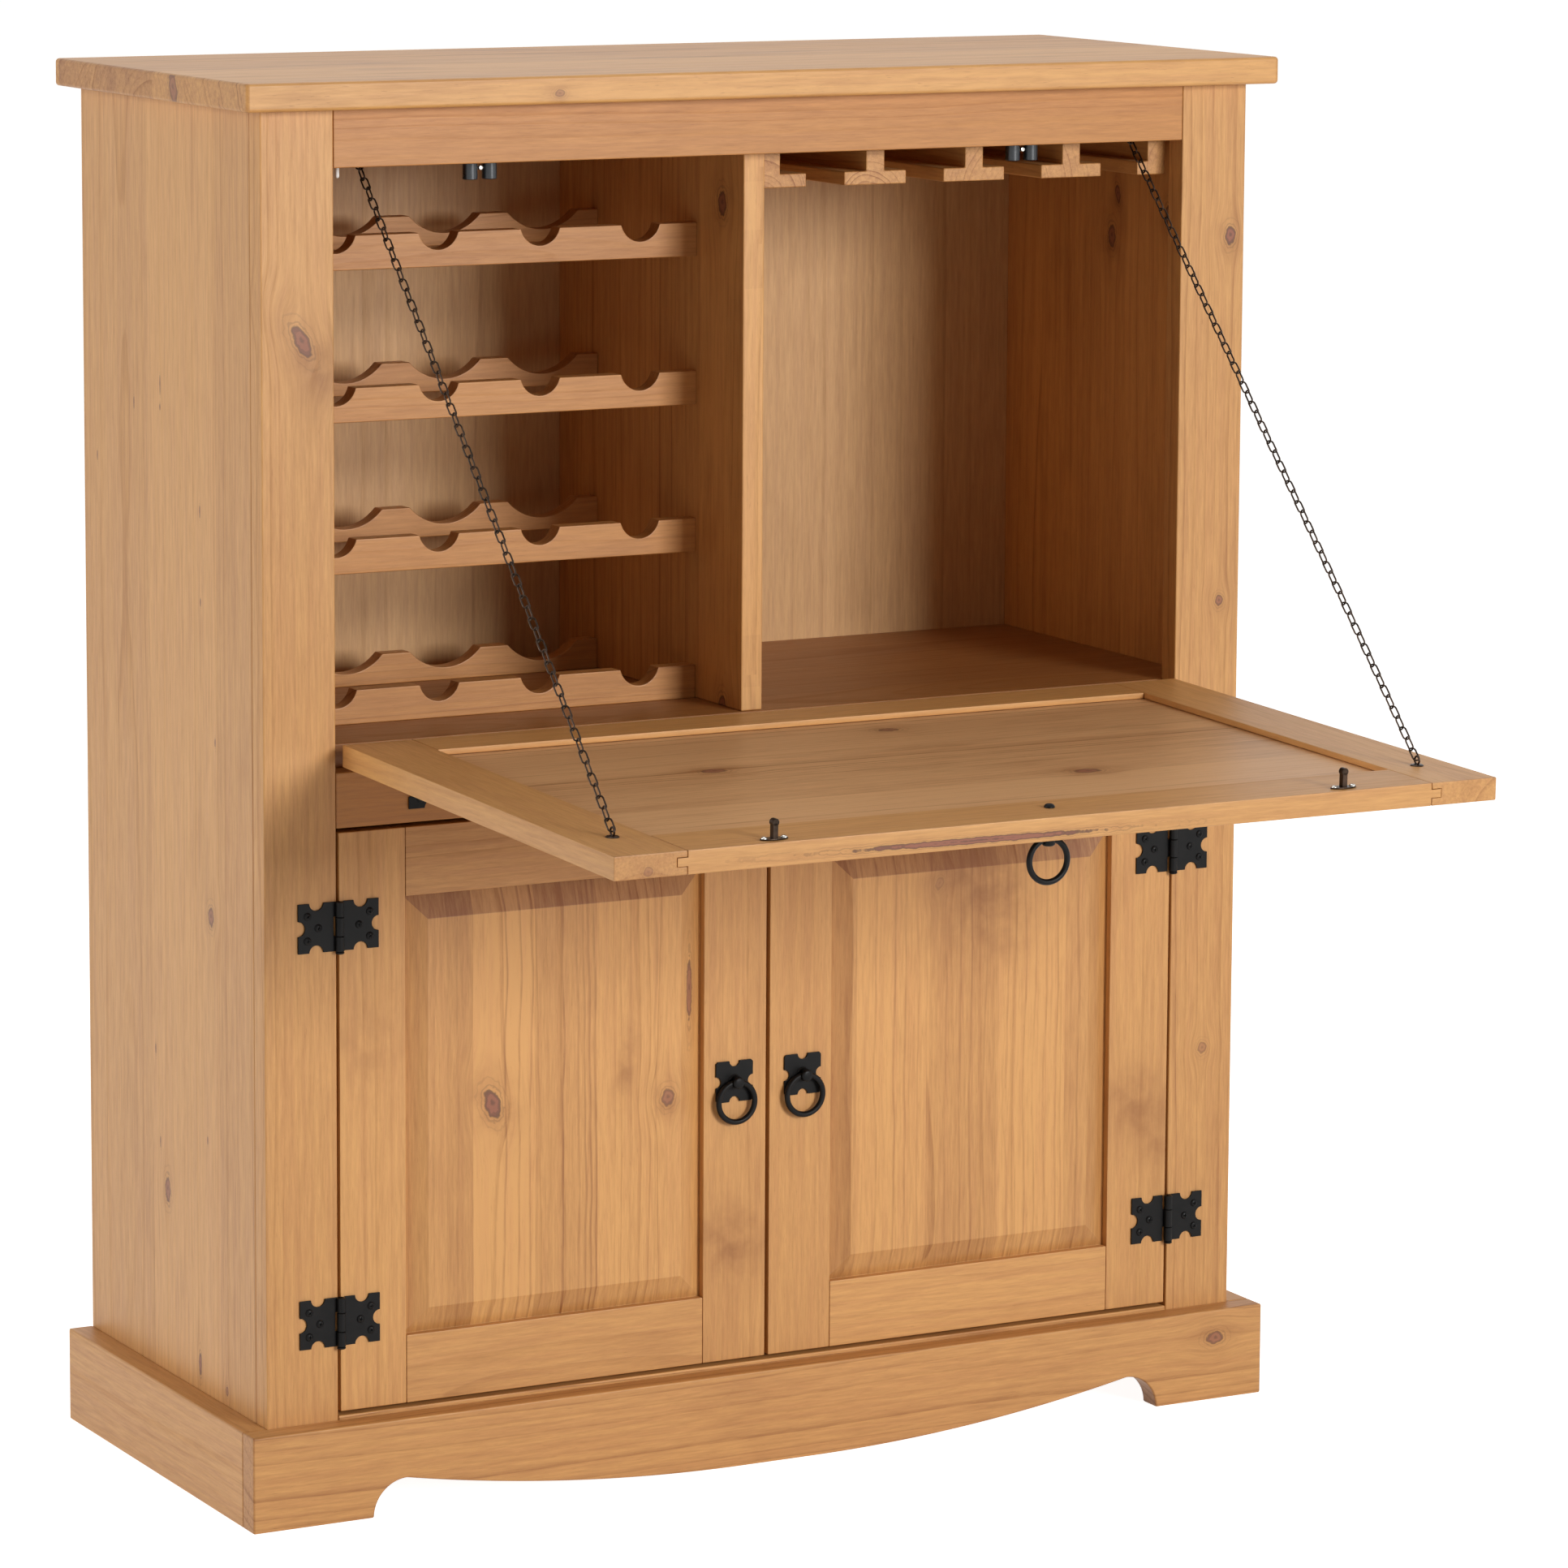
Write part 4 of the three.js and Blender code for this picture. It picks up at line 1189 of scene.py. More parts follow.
@dataclass
class GlassRails:
    """The rails under the top between whose lips stemmed glasses slide in."""

    count: int = 5
    easing: float = 1.0

    def build(self) -> list[Piece]:
        """Builds and dresses every rail."""
        return [board(f"glass_rail_{number + 1}", Pine(Grain.DEEP_WIDE, ring_gap=4.0), self.easing)
                for number in range(self.count)]


@dataclass
class FramedLeaf:
    """A frame of four grooved members round a raised panel, with its outer face at Y 0.

    Its name is also the name of its body.
    """

    name: str
    width: float
    height: float
    thickness: float
    stile: float
    bottom_rail: float
    top_rail: float
    place: Matrix
    upright: Grain
    level: Grain
    panel_finish: Pine
    marks: dict[str, tuple[Knot, ...]]
    tones: dict[str, float]
    groove: float = 8.0
    tongue: float = 6.0
    clearance: float = 0.3
    recess: float = 5.0
    bevel: float = 19.0
    field_depth: float = 1.0
    field_easing: float = 0.4
    easing: float = 0.9
    joint: float = 0.12
    root: float = 3.0
    proud: float = 0.02
    tongue_easing: float = 0.2
    contrast: float = 0.42

    def member(self, part: str, mesh: Mesh, grain: Grain) -> Piece:
        """Dresses one member of the frame.

        Args:
            part: The member's name.
            mesh: Its mesh.
            grain: The way that its grain runs.

        Returns:
            The dressed member.
        """
        wood = Pine(grain, contrast=self.contrast, tone=self.tones.get(part, 0.0),
                    knots=self.marks.get(part, ()))
        return finished(f"{self.name}_{part}", mesh, self.name, [f"{self.name}_frame"], wood, self.place)

    def slot(self) -> tuple[float, float, float]:
        """Returns the groove's two sides and the tongue's back."""
        back = self.thickness - self.recess
        return back - self.tongue - self.clearance, back + self.clearance, back

    def stiles(self) -> list[Piece]:
        """Makes the two stiles, each with a groove along its inner edge.

        Returns:
            The dressed pieces.
        """
        half, inner = self.width / 2, self.width / 2 - self.stile
        low, high, _ = self.slot()
        floor = inner + self.groove
        points = ((inner, 0.0), (half, 0.0), (half, self.thickness), (inner, self.thickness), (inner, high),
                  (floor, high), (floor, low), (inner, low))
        made = []
        for side, sign in SIDES:
            mesh = prism([(sign * x, y) for x, y in points], "z", 0.0, self.height)
            made.append(self.member(f"{side}_stile", eased(mesh, self.easing), self.upright))
        return made

    def rails(self) -> list[Piece]:
        """Makes the two rails, whose ends have tongues that fill the stiles' grooves.

        Returns:
            The dressed pieces.
        """
        half = self.width / 2 - self.stile - self.joint
        reach = self.width / 2 - self.stile + self.groove - self.clearance
        low, high, back = self.slot()
        made = []
        for part, edge, inner in (("bottom_rail", 0.0, self.bottom_rail),
                                  ("top_rail", self.height, self.height - self.top_rail)):
            floor = inner + math.copysign(self.groove, edge - inner)
            profile = [(0.0, inner), (0.0, edge), (self.thickness, edge), (self.thickness, inner),
                       (high, inner), (high, floor), (low, floor), (low, inner)]
            rail = eased(prism(profile, "x", -half, half), self.easing)
            bottom, top = sorted((edge + math.copysign(self.proud, edge - inner), floor))
            ends = []
            for _, sign in SIDES:
                left, right = sorted((sign * (half - self.root), sign * reach))
                tongue = box((left, back - self.tongue, bottom), (right, back, top))
                ends.append(eased(tongue, self.tongue_easing))
            made.append(self.member(part, merged(rail, *ends), self.level))
        return made

    def panel(self) -> Piece:
        """Makes the raised panel, whose four bevels rise from its tongue to its field.

        Returns:
            The dressed panel.
        """
        back = self.thickness - self.recess
        face, reach = back - self.tongue, self.groove - self.clearance
        half, low, high = self.width / 2 - self.stile, self.bottom_rail, self.height - self.top_rail
        rows = []
        for inset, y in ((-reach, back), (-reach, face), (self.clearance, face),
                         (self.bevel, self.field_depth)):
            x, bottom, top = half - inset, low + inset, high - inset
            rows.append([(-x, y, bottom), (x, y, bottom), (x, y, top), (-x, y, top)])
        mesh = skinned(rows)
        raised = max(mesh.faces, key=lambda f: -f.calc_center_median().y)
        mesh = rounded(mesh, raised.edges, self.field_easing, 2)
        return finished(f"{self.name}_raised_panel", mesh, self.name, [f"{self.name}_panel"],
                        self.panel_finish, self.place, smooth=12)

    def build(self) -> list[Piece]:
        """Builds and dresses the frame and the panel."""
        return [*self.stiles(), *self.rails(), self.panel()]


@dataclass
class ButterflyHinge:
    """A butterfly hinge: two notched leaves that are screwed on over a seam and roll round a pin.

    In a leaf's own drawing the pin is the Z axis, the leaf reaches along +X and the wood is at +Y.
    """

    reach: float = 32.6
    height: float = 37.2
    thickness: float = 1.3
    knuckle: float = 3.3
    middle: float = 14.0
    gap: float = 0.3
    relief: float = 4.0
    pin: float = 1.6
    tip: Profile = ((3.0, 0.0), (3.3, 0.3), (3.3, 1.08), (2.475, 1.62), (0.0, 1.8))
    notch: float = 5.6
    notch_from_end: float = 14.7
    screws_from_end: tuple[float, float] = (7.4, 16.1)
    screw_spread: float = 9.2
    easing: float = 0.3
    knuckle_easing: float = 0.35
    steps: int = 20
    sides: int = 32

    def sheet(self, has_middle: bool) -> Mesh:
        """Makes a leaf's flat sheet, set back where the other leaf's knuckles turn.

        Args:
            has_middle: Whether it is the leaf with the middle knuckle.

        Returns:
            The cut sheet.
        """
        half, r = self.height / 2, self.notch
        across = self.reach - self.notch_from_end
        start = self.middle / 2 + (0 if has_middle else self.gap)
        inner, outer = (0.0, self.relief) if has_middle else (self.relief, 0.0)
        outline = [(outer, half), (outer, start), (inner, start), (inner, -start), (outer, -start),
                   (outer, -half), *arc((across, -half), r, 180, 0, self.steps), (self.reach, -half),
                   *arc((self.reach, 0.0), r, -90, -270, self.steps), (self.reach, half),
                   *arc((across, half), r, 0, -180, self.steps)]
        sheet = prism(outline, "y", self.knuckle - self.thickness, self.knuckle)
        return eased(sheet, self.easing, 2, sharp=40)

    def barrel(self, low: float, high: float) -> Mesh:
        """Makes a knuckle rolled from the sheet, with its rims eased."""
        r, e = self.knuckle, self.knuckle_easing
        return lathe([(r - e, low), (r, low + e), (r, high - e), (r - e, high)], self.sides)

    def leaf(self, name: str, node: str, has_middle: bool, tip_sign: int, body: str,
             place: Matrix) -> list[Piece]:
        """Makes one leaf with its knuckles and screws.

        Args:
            name: The piece's name.
            node: The node that it stands for.
            has_middle: Whether it has the middle knuckle and with it the pin.
            tip_sign: The end where the pin's head shows.
            body: The body that it moves with.
            place: Where the pin's axis is.

        Returns:
            The dressed leaf and its screws.
        """
        half, mid = self.height / 2, self.middle / 2
        if has_middle:
            foot = half + self.gap
            cap = [(self.pin, -half), (self.pin, foot), *((r, foot + z) for r, z in self.tip)]
            barrels = [self.barrel(-mid, mid), lathe([(r, tip_sign * z) for r, z in cap], self.sides)]
        else:
            barrels = [self.barrel(-half, -mid - self.gap), self.barrel(mid + self.gap, half)]
        corner, centre = (self.reach - d for d in self.screws_from_end)
        face = self.knuckle - self.thickness
        spots = [(corner, face, self.screw_spread), (corner, face, -self.screw_spread), (centre, face, 0.0)]
        return [finished(name, merged(self.sheet(has_middle), *barrels), body, [node], BLACK_COAT, place),
                screws(f"{name}_screws", spots, BLACK_COAT, place, body, node)]


@dataclass
class RingPull:
    """A ring pull: a notched plate, a post with a hole through it and a ring in that hole."""

    size: float = 32.0
    thickness: float = 1.5
    seat: float = 0.3
    notch: float = 4.3
    corner: float = 1.6
    easing: float = 0.4
    post: Profile = ((5.6, -0.8), (5.6, -2.3), (4.7, -3.0), (4.7, -8.9), (4.418, -9.6), (3.6, -10.25),
                     (1.98, -10.5), (0.0, -10.5))
    hole: float = 3.3
    ring: float = 15.5
    wire: float = 2.2
    standoff: float = 5.4
    bolt: float = 2.0
    bolt_head: Profile = ((3.7, 0.0), (4.0, 0.3), (3.72, 1.2), (2.8, 2.21), (1.6, 2.6), (0.0, 2.6))
    notch_steps: int = 18
    sides: int = 32
    post_sides: int = 40
    ring_steps: int = 72
    wire_sides: int = 20

    def plate(self) -> Mesh:
        """Makes the plate with its corners nipped and a round notch in each side.

        Returns:
            The cut sheet.
        """
        half, cut = self.size / 2, self.size / 2 - self.corner
        outline: list[Point2] = [(-half, -cut)]
        for x, y, start in ((0, -1, 180), (1, 0, -90), (0, 1, 0), (-1, 0, 90)):
            outline += [(x * half + y * cut, y * half - x * cut),
                        *arc((x * half, y * half), self.notch, start, start - 180, self.notch_steps),
                        (x * half - y * cut, y * half + x * cut)]
        outline.pop()
        return eased(prism(outline, "y", -self.seat - self.thickness, -self.seat), self.easing, 2, sharp=40)

    def eye(self) -> Mesh:
        """Makes the post with the hole that the ring swings in."""
        drill = lathe([(self.hole, -self.size), (self.hole, self.size)], self.sides, "x")
        return cut_out(lathe(self.post, self.post_sides, "y"), moved(drill, y=-self.standoff))

    def build(self, owner: str, wood: float, place: Matrix, hang: Matrix) -> list[Piece]:
        """Builds and dresses a pull.

        Args:
            owner: The body that the plate moves with, which also names the pieces.
            wood: The thickness that the bolt goes through.
            place: Where the plate's middle is on the face, which is at Y 0.
            hang: Where the ring's axis is, with the ring hanging straight down.

        Returns:
            The plate with its post, the bolt and the ring.
        """
        name, far = f"{owner}_pull", wood + self.seat
        shank = [(self.bolt, -self.seat), (self.bolt, far), *((r, far + y) for r, y in self.bolt_head)]
        ring = moved(torus(self.ring, self.wire, self.ring_steps, self.wire_sides), z=-self.ring)
        plate, bolt = merged(self.plate(), self.eye()), lathe(shank, self.sides, "y")
        return [finished(f"{name}_plate", plate, owner, [f"{name}_plate"], BLACK_COAT, place),
                finished(f"{name}_bolt", bolt, owner, [f"{name}_plate"], BLACK_COAT, place),
                finished(f"{name}_ring", ring, f"{owner}_ring", [f"{name}_ring"], BLACK_COAT, hang,
                         smooth=60)]


@dataclass
class Door:
    """A cupboard door, with its hinges on the face frame's side and its ring pull."""

    side: str
    sign: int
    stave: float
    first_seam: float
    knots: tuple[Knot, ...]
    bands: tuple[Point3, ...]
    veins: tuple[Point2, ...]
    marks: dict[str, tuple[Knot, ...]]
    width: float = 358.5
    height: float = 438.0
    thickness: float = 18.0
    stile: float = 54.0
    rail: float = 52.0
    foot: float = 79.0
    meeting: float = 1.5
    seam: float = 361.0
    standoff: float = 3.6
    hinge_from_end: float = 69.5
    pull_from_edge: float = 28.2

    def build(self) -> list[Piece]:
        """Builds and dresses the leaf, two hinges and the pull.

        Returns:
            The dressed pieces.
        """
        door = f"{self.side}_door"
        # Painted shade: the panel's upper bevel is darkened for the flap above it, its lower bevel lightened
        # and its side bevels darkened.
        wood = Pine(Grain.UP_WIDE, stave=self.stave, first_seam=self.first_seam, through=0.3, contrast=0.5,
                    thirst=1.2, upper_painted_shade=0.6, side_painted_shade=0.5, knots=self.knots, bands=self.bands,
                    veins=self.veins)
        # The top rail's tone of 0.14 is painted shade under the flap.
        made = FramedLeaf(door, self.width, self.height, self.thickness, self.stile, self.rail, self.rail,
                          at(self.sign * (self.meeting + self.width / 2), 0, self.foot), Grain.UP_WIDE,
                          Grain.ACROSS_TALL, wood, self.marks,
                          {"top_rail": 0.14, "right_stile": -0.04}).build()
        hinge = ButterflyHinge()
        for level, height in (("top", self.foot + self.height - self.hinge_from_end),
                              ("bottom", self.foot + self.hinge_from_end)):
            spot = at(self.sign * self.seam, -self.standoff, height)
            places = [spot @ turn("Y", 180), spot][:: -self.sign]
            for leaf, body, place in (("frame_leaf", CABINET, places[0]), ("door_leaf", door, places[1])):
                moves = body == door
                made += hinge.leaf(f"{door}_{level}_hinge_{leaf}", f"{door}_{level}_{leaf}", moves,
                                   self.sign if moves else -1, body, place)
        pull = RingPull()
        place = at(self.sign * (self.meeting + self.pull_from_edge), 0, self.foot + self.height / 2)
        return made + pull.build(door, self.thickness, place, place @ at(0, -pull.standoff, 0))


@dataclass
class Flap:
    """The flap that folds down to a worktop, with its hinges, pull and strikes."""

    width: float = 718.0
    length: float = 440.0
    thickness: float = 17.0
    stile: float = 56.0
    rear_rail: float = 45.0
    front_rail: float = 56.0
    foot: float = 1.0
    standoff: float = 3.6
    hinge_height: float = 563.0
    opening: float = 91.5
    hinge_x: float = 285.0
    pull_from_edge: float = 31.0
    strike_x: float = 232.0
    strike_from_edge: float = 9.0
    strike_leaf: Point2 = (11.0, 4.5)
    strike_sharpness: float = 1.3
    strike_sheet: Point2 = (0.3, 1.3)
    strike_easing: float = 0.3
    neck: tuple[Point3, Point3] = ((-2, 0.7, -2.5), (2, 12.0, 2.5))
    neck_easing: float = 0.4
    head: Profile = ((2.4, -2.5), (2.8, -2.1), (2.8, 2.1), (2.4, 2.5))
    head_out: float = 12.23
    head_sides: int = 28
    screw_spots: tuple[Point3, ...] = ((-7.7, -1.3, 0.0), (7.7, -1.3, 0.0))

    def hinge(self) -> Matrix:
        """Returns where the flap's own drawing goes when it is open: Z runs from its hinge along it."""
        return at(0, -self.standoff, self.hinge_height) @ turn("X", self.opening)

    def strikes(self) -> list[Piece]:
        """Makes the two strikes, whose tongues snap in between the catches' rollers.

        Returns:
            The dressed pieces.
        """
        made = []
        there, back = range(0, 90, 6), range(90, 0, -6)
        reach, rise = self.strike_leaf
        outline = []
        for x, z, turns in ((1, 1, there), (1, -1, back), (-1, -1, there), (-1, 1, back)):
            for t in map(math.radians, turns):
                outline.append((x * reach * math.sin(t), z * rise * math.cos(t) ** self.strike_sharpness))
        for side, sign in SIDES:
            place = self.hinge() @ at(sign * self.strike_x, self.standoff + self.thickness,
                                      self.foot + self.length - self.strike_from_edge)
            base = eased(prism(outline, "y", *self.strike_sheet), self.strike_easing, 2, sharp=50)
            head = moved(lathe(self.head, self.head_sides), y=self.head_out)
            tongue = merged(base, eased(box(*self.neck), self.neck_easing), head)
            node = f"{side}_strike"
            made.append(finished(f"{node}_plate", tongue, "flap", [node], BRONZE_SHEET, place))
            made.append(screws(f"{node}_screws", self.screw_spots, BRIGHT_ZINC, place @ turn("Z", 180),
                               "flap", node, radius=2.4, height=1.4))
        return made

    def build(self) -> list[Piece]:
        """Builds and dresses the whole flap.

        Returns:
            The dressed pieces.
        """
        face = self.hinge() @ at(0, self.standoff, self.foot)
        knots = (Knot(-179.1, -142.5, 6.5, 1.5, 0, 0.85, 0.4), Knot(-284.7, 109.7, 6.5, 1.6, 0, 0.9, 0.5),
                 Knot(-86.5, 55.1, 5.5, 1.5, 0, 0.85, 0.4))
        marks = {"top_rail": (Knot(-76.0, 560.6, 2.3, 42.0, 90.4, 1.0, 0.2, "xz"),),
                 "left_stile": (Knot(-333.0, 559.5, 3.6, 1.0, 0.0, 0.4, 0.3, "xz"),)}
        # The flap's paler, pinker colours and its lighter tone are painted sheen and painted light.
        wood = Pine(Grain.ACROSS_DEEP, stave=62, first_seam=4, through=0.5, contrast=0.95, tone=-0.07,
                    knots=knots, light="#dcac79", rosy="#d39f6e")
        # The front rail's tone of 0.12 is painted shade.
        made = FramedLeaf("flap", self.width, self.length, self.thickness, self.stile, self.rear_rail,
                          self.front_rail, face, Grain.DEEP_WIDE, Grain.ACROSS_DEEP, wood, marks,
                          {"top_rail": 0.12, "left_stile": 0.04}).build()
        for side, sign in SIDES:
            moving = self.hinge() @ at(sign * self.hinge_x) @ turn("Y", -90)
            fixed = at(sign * self.hinge_x, -self.standoff, self.hinge_height) @ turn("Y", 90)
            for leaf, body, place in (("flap_leaf", "flap", moving), ("rail_leaf", CABINET, fixed)):
                node = f"{side}_flap_hinge_{leaf}"
                made += ButterflyHinge().leaf(f"{node}_sheet", node, body == "flap", -1, body, place)
        pull = RingPull()
        place = face @ at(z=self.length - self.pull_from_edge)
        hang = place @ at(0, -pull.standoff, 0) @ turn("X", -self.opening)
        return made + self.strikes() + pull.build("flap", self.thickness, place, hang)


@dataclass
class RollerCatches:
    """Twin roller catches behind the top rail: a bent bracket with two upright rollers."""

    x: float = 232.0
    face: float = 20.0
    low: float = 992.5
    arm: float = 1008.2
    sheet: float = 1.2
    bend: float = 1.6
    bend_steps: int = 6
    height: float = 24.0
    reach: float = 12.0
    easing: float = 0.25
    rod: float = 1.4
    rod_from_low: float = 2.0
    rod_sides: int = 24
    rod_head: Profile = ((2.4, 0.0), (2.4, 0.6), (1.6, 1.1), (0.0, 1.2))
    roller: float = 5.6
    wheel: Profile = ((1.6, 1.2), (4.0, 0.0), (5.1, 0.0), (5.6, 0.5), (5.6, 14.5), (5.1, 15.0), (4.0, 15.0),
                      (1.6, 14.4))
    wheel_sides: int = 36
    axle: float = 1.1
    axle_rise: float = 8.6
    axle_sides: int = 20
    rivet_sides: int = 28
    rivet: Profile = ((1.0, 0.0), (2.1, -0.6), (2.1, -1.4), (1.5, -2.3), (0.0, -2.6))
    spread: float = 7.9
    depth: float = 25.8

    def bracket(self) -> Mesh:
        """Makes the bent sheet with the rods that the rollers turn on.

        Returns:
            The bracket and its rods.
        """
        y, z, t = self.face, self.arm, self.sheet
        middle = (y + self.bend, z + self.bend)
        profile = [(y, z + self.height), *arc(middle, self.bend, 180, 270, self.bend_steps),
                   (y + self.reach, z), (y + self.reach, z + t),
                   *arc(middle, self.bend - t, 270, 180, self.bend_steps), (y + t, z + self.height)]
        half = self.spread + self.roller
        rod = [(self.rod, self.low + self.rod_from_low), (self.rod, z + t),
               *((r, z + t + h) for r, h in self.rod_head)]
        sheet = eased(prism(profile, "x", -half, half), self.easing, 1, sharp=40)
        return merged(sheet, *self.pair(rod, self.rod_sides))

    def pair(self, profile: Sequence[Point2], steps: int) -> list[Mesh]:
        """Turns two of a kind, one at each roller's place."""
        return [moved(lathe(profile, steps), x=hand * self.spread, y=self.depth) for hand in (-1, 1)]

    def build(self) -> list[Piece]:
        """Builds and dresses both catches.

        Returns:
            The dressed pieces.
        """
        made = []
        for side, sign in SIDES:
            axle = lathe([(self.axle, -self.spread), (self.axle, self.spread)], self.axle_sides, "x")
            cross = moved(merged(axle, lathe(self.rivet, self.rivet_sides, "y")), y=self.depth,
                          z=self.low + self.axle_rise)
            rollers = merged(*self.pair([(r, self.low + h) for r, h in self.wheel], self.wheel_sides))
            node = f"{side}_roller_catch"
            for part, mesh, metal in (("bracket", self.bracket(), DARK_NICKEL), ("axle", cross, BRIGHT_ZINC),
                                      ("rollers", rollers, BLACK_NYLON)):
                made.append(finished(f"{node}_{part}", mesh, CABINET, [node], metal, at(sign * self.x)))
        return made


@dataclass
class Chains:
    """The two chains that hold the flap, each as two runs of links, and the eyes at their ends."""

    x: float = 330.0
    rail_eye: Point2 = (31.0, 1010.5)
    rail_back: float = 20.0
    flap_eye: Point2 = (-385.1135, 577.6182)
    flap_eye_along: float = 381.0
    lean: float = 43.8685
    upper_links: int = 35
    lower_links: int = 28
    width: float = 6.6
    wire: float = 1.3
    eye_ring: float = 2.9
    eye_wire: float = 0.75
    flange: Profile = ((5.0, -0.2), (5.0, 0.35), (4.3, 0.95), (2.6, 1.2), (1.6, 1.2), (1.25, 1.3))
    shank: Profile = ((1.1, 0.0), (0.9, 0.3))
    rail_eye_out: float = 11.0
    flap_eye_out: float = 4.0
    sides: int = 32
    wire_sides: int = 12

    def eye(self, name: str, body: str, node: str, standoff: float, place: Matrix) -> Piece:
        """Makes a screw eye on a dished flange; it stands towards +Y.

        Args:
            name: The piece's name.
            body: The body that it moves with.
            node: The node that it stands for, with other pieces.
            standoff: How far the ring's middle is from the wood.
            place: Where it stands on the wood, which is at Y 0.

        Returns:
            The dressed eye.
        """
        ring = torus(self.eye_ring, self.eye_wire, self.sides, self.wire_sides)
        ring.transform(at(y=standoff) @ turn("Z", 90))
        profile = [*self.flange, *((r, standoff - self.eye_ring + y) for r, y in self.shank)]
        mesh = merged(lathe(profile, self.sides, "y"), ring)
        return finished(name, mesh, body, [node], BRONZE_WIRE, place)

    def build(self) -> list[Piece]:
        """Builds and dresses the eyes and all four runs.

        Returns:
            The dressed pieces.
        """
        made = []
        top, low = Vector((0, *self.rail_eye)), Vector((0, *self.flap_eye))
        pitch = ((top - low).length - self.wire) / (self.upper_links + self.lower_links)
        kinds = {"Count": "Int", "Pitch": "Float", "Width": "Float", "Wire": "Float"}
        flap = Flap()
        for side, sign in SIDES:
            x = sign * self.x
            made.append(self.eye(f"{side}_rail_eye", CABINET, "top_front_rail", self.rail_eye_out,
                                 at(x, self.rail_back, self.rail_eye[1])))
            place = flap.hinge() @ at(x, flap.standoff + flap.thickness, self.flap_eye_along)
            made.append(self.eye(f"{side}_flap_eye", "flap", "flap_frame", self.flap_eye_out, place))
            for run, count, eye, angle in (("upper", self.upper_links, self.rail_eye, -self.lean),
                                           ("lower", self.lower_links, self.flap_eye, 180 - self.lean)):
                inputs = {"Count": count, "Pitch": pitch, "Width": self.width, "Wire": self.wire}
                node, tree = f"{side}_chain_{run}", geometry_tree("chain_links", kinds, draw_links)
                made.append(grown(f"{node}_links", tree, [(0, 0, 0)], inputs, BRONZE_WIRE,
                                  at(x, *eye) @ turn("X", angle), f"{side}_{run}_chain", node))
        return made


@dataclass
class Studio:
    """The camera, a white floor and backdrop, and soft lamps."""

    eye: Point3 = (-2.2561, -4.12222, 1.3410)
    pitch: float = 8.046
    yaw: float = -27.807
    roll: float = 0.237
    lens: float = 144.97
    sensor: float = 36.0
    shift: Point2 = (0.0502, -0.1201)
    far: float = 200.0
    world_level: float = 0.13
    shade_tint: str = "#ffe8cc"
    floor_size: float = 60.0
    floor_colour: str = "#f2f2f2"
    floor_glow: float = 0.93
    lamps: tuple[tuple[str, Point3, Point3, float, float], ...] = (
        ("key_softbox", (1.7, -5.7, 2.05), (0.0, 0.0, 0.55), 1.8, 262.0),
        ("side_softbox", (-5.4, 1.2, 1.8), (-0.4, 0.2, 0.5), 2.4, 125.0),
        ("top_softbox", (0.3, 1.4, 3.8), (0.0, 0.1, 1.0), 2.0, 30.0))

    def camera(self) -> None:
        """Sets the camera up as the photograph was taken."""
        data = bpy.data.cameras.new("camera")
        data.sensor_width = self.sensor
        data.lens = self.lens
        data.shift_x, data.shift_y = self.shift
        data.clip_end = self.far
        seen = placed("camera", data)
        aim = turn("Z", self.yaw) @ turn("X", 90 - self.pitch) @ turn("Z", self.roll)
        seen.matrix_world = at(*self.eye) @ aim
        bpy.context.scene.camera = seen

    def seen_share(self, tree: Tree) -> Term:
        """Tells the rays that are seen from those that only light the scene.

        Args:
            tree: The tree to draw in.

        Returns:
            1 where a ray comes from the camera, a mirror or a glass, and 0 elsewhere.
        """
        path = put(tree, "ShaderNodeLightPath")
        both = path.out("Is Camera Ray") + path.out("Is Glossy Ray")
        return both.math("ADD", path.out("Is Transmission Ray"), clamp=True)

    def world(self) -> None:
        """Makes the white world, whose light is dim and warm, as if wood walls sent it back."""
        world = bpy.data.worlds.new("white_studio")
        world.use_nodes = True
        tree = world.node_tree
        tree.nodes.clear()
        share = self.seen_share(tree)
        colour = mixed(share, linear(self.shade_tint), WHITE)
        back = put(tree, "ShaderNodeBackground", [colour, share.ramp(0.0, 1.0, self.world_level, 1.0)])
        put(tree, "ShaderNodeOutputWorld", [back])
        bpy.context.scene.world = world

    def floor(self) -> None:
        """Makes the white floor, which keeps the cabinet's shadow."""
        mesh = bmesh.new()
        bmesh.ops.create_grid(mesh, x_segments=1, y_segments=1, size=self.floor_size)
        plane = placed("floor", plain("floor", mesh))
        finish = blank("white_painted_floor")
        tree = finish.node_tree
        matt = put(tree, "ShaderNodeBsdfDiffuse", {"Color": linear(self.floor_colour)})
        glow = self.seen_share(tree) * self.floor_glow
        light = put(tree, "ShaderNodeEmission", {"Color": WHITE, "Strength": glow})
        put(tree, "ShaderNodeOutputMaterial", [put(tree, "ShaderNodeAddShader", [matt, light])])
        plane.data.materials.append(finish)

    def lamp(self, name: str, place: Point3, aim: Point3, size: float, power: float) -> None:
        """Hangs one soft square lamp.

        Args:
            name: The lamp's name.
            place: Where it hangs, in metres.
            aim: What it points at.
            size: The length of its side in metres.
            power: Its power in watts.
        """
        data = bpy.data.lights.new(name, "AREA")
        data.shape = "SQUARE"
        data.size = size
        data.energy = power
        facing = (Vector(aim) - Vector(place)).to_track_quat("-Z", "Y")
        placed(name, data).matrix_world = at(*place) @ facing.to_matrix().to_4x4()

    def build(self) -> None:
        """Builds the studio."""
        bpy.context.scene.view_settings.view_transform = "Standard"
        self.camera()
        self.world()
        self.floor()
        for lamp in self.lamps:
            self.lamp(*lamp)


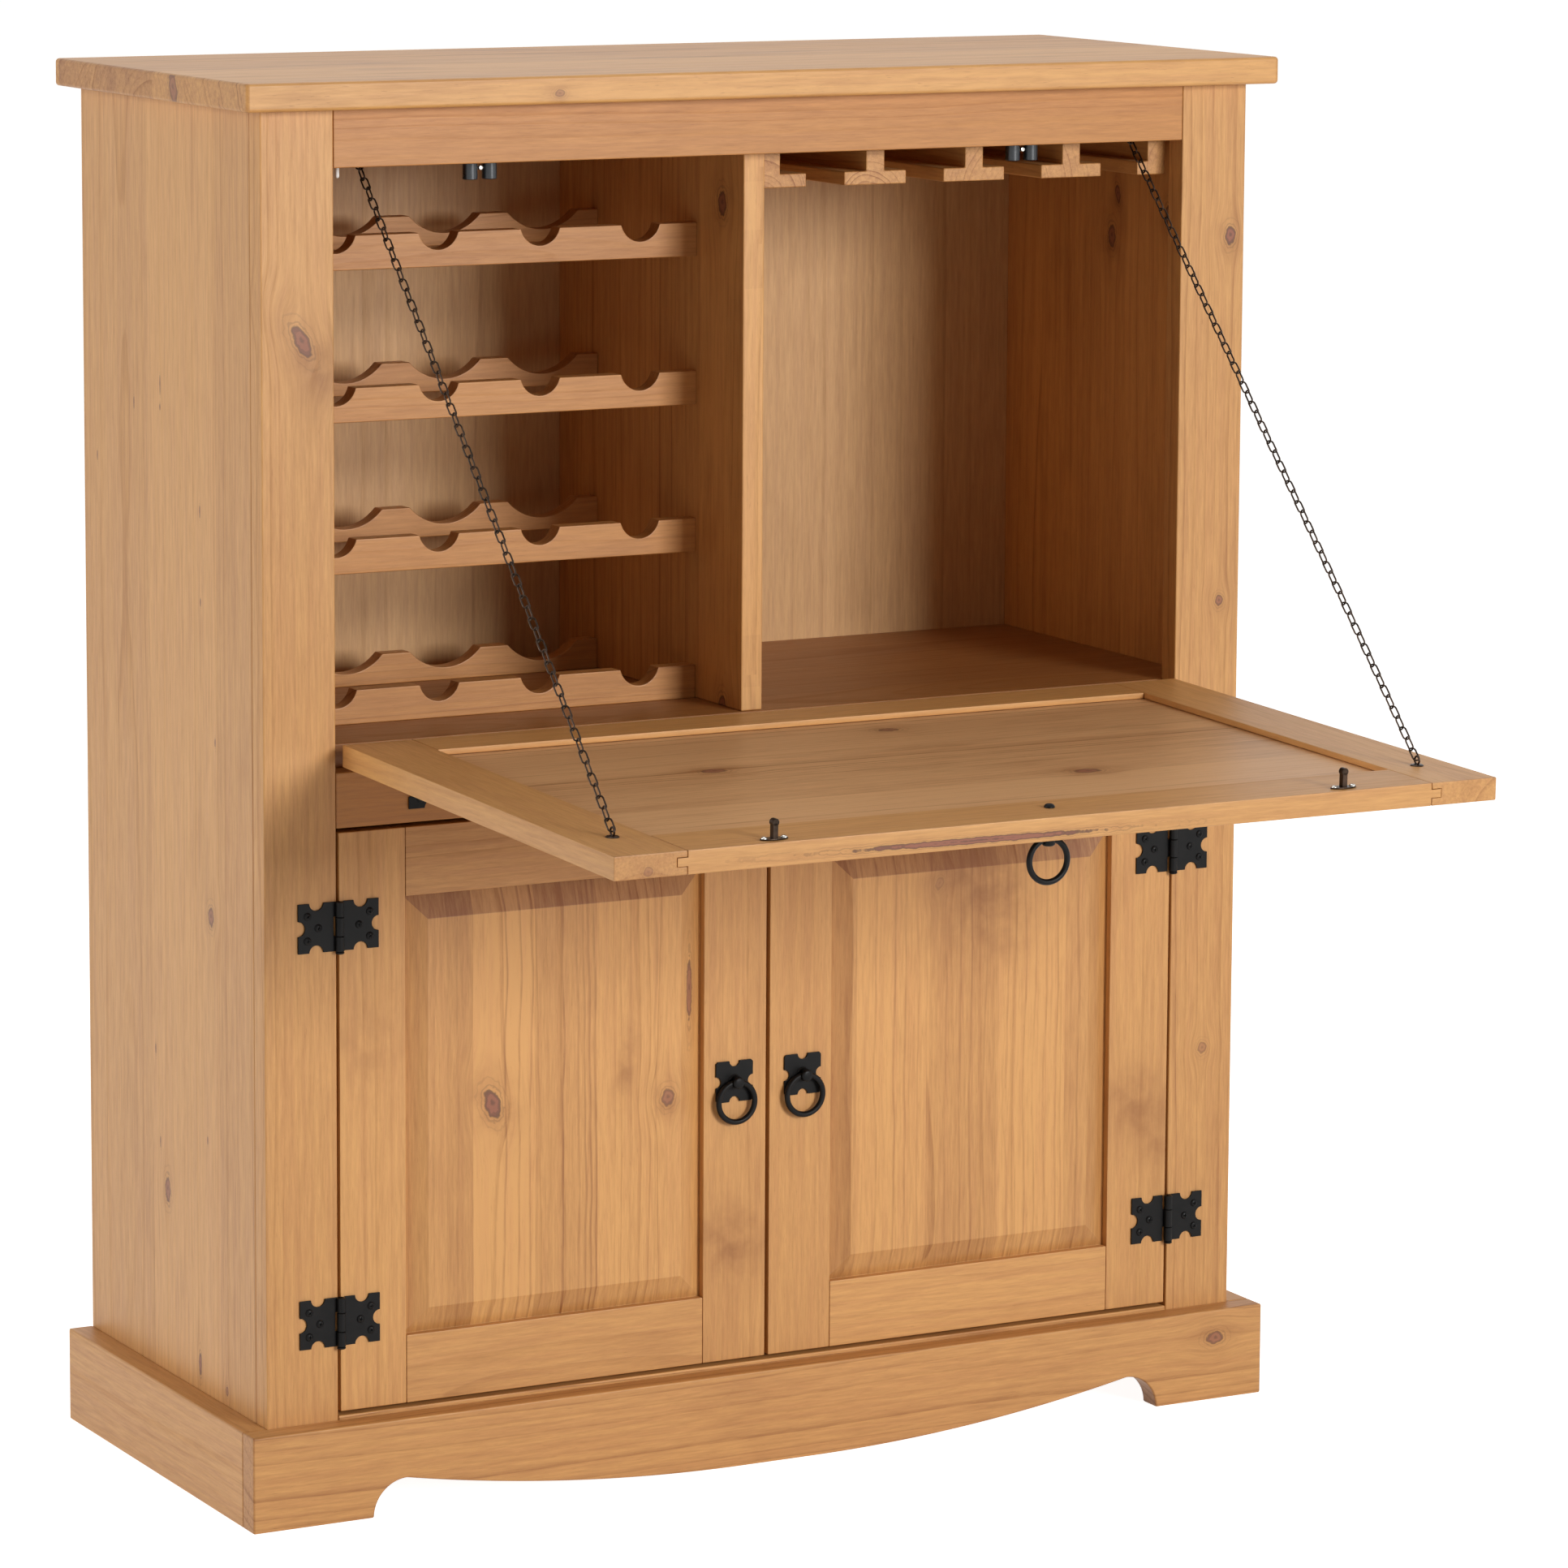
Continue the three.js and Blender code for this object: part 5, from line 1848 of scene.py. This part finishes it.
def doors() -> tuple[Door, Door]:
    """Makes the two doors, each with the staves, lines and knots of its own wood.

    Returns:
        The left and the right door.
    """
    left = Door(
        "left", -1, 51.7, -250.0,
        knots=(Knot(-233.9, 300.5, 6.4, 1.7, -20, 0.95, 0.45), Knot(-85.7, 290.6, 5.4, 1.2, 0, 0.75, 0.4),
               Knot(-66.5, 372.0, 2.6, 9.0, 0, 0.8, 0.1), Knot(-122.0, 318.0, 3.0, 4.0, 10, 0.0, 0.5)),
        bands=((-305.0, -272.0, 0.08), (-272.0, -250.0, 0.22), (-250.0, -197.9, -0.07),
               (-197.9, -165.0, 0.05), (-94.9, -75.0, 0.03)),
        veins=((-223.4, 0.42), (-211.5, 0.4), (-201.9, 0.35), (-174.7, 0.34), (-162.0, 0.22), (-156.6, 0.3),
               (-152.1, 0.34), (-147.6, 0.3), (-118.0, 0.12), (-96.5, 0.2), (-262.0, 0.15), (-281.0, 0.12)),
        marks={"left_stile": (Knot(-339.8, 351.3, 11.0, 1.1, 0, 0.0, 0.3),),
               "right_stile": (Knot(-33.0, 172.0, 10.0, 1.1, 0, 0.0, 0.6),)})
    right = Door(
        "right", 1, 62.6, 78.1,
        knots=(Knot(151.0, 436.0, 3.5, 1.5, 20, 0.25, 0.2), Knot(186.0, 432.0, 14.0, 1.6, -20, 0.0, 0.55)),
        bands=((143.1, 205.3, 0.15), (266.0, 306.0, 0.08), (78.1, 110.0, -0.03)),
        veins=((95.0, 0.2), (112.0, 0.28), (121.5, 0.24), (133.0, 0.14), (158.0, 0.16), (171.0, 0.26),
               (180.5, 0.3), (193.0, 0.2), (214.0, 0.24), (221.0, 0.2), (229.5, 0.26), (238.0, 0.22),
               (247.5, 0.2), (258.0, 0.25), (277.0, 0.2)),
        marks={"right_stile": (Knot(328.2, 247.3, 9.0, 1.0, -30, 0.0, 0.5),
                               Knot(350.0, 214.9, 8.0, 1.4, -30, 0.0, 0.4))})
    return left, right


def main() -> None:
    """Builds the studio and the cabinet, and logs how many pieces each part makes."""
    logging.basicConfig(level=logging.INFO, format="%(name)s: %(message)s")
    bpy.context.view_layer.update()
    Studio().build()
    for part in (Carcass(), Plinth(), BottleRack(), GlassRails(), *doors(), Flap(), RollerCatches(),
                 Chains()):
        LOG.info("%s: %d pieces", type(part).__name__, len(part.build()))


if __name__ == "__main__":
    main()
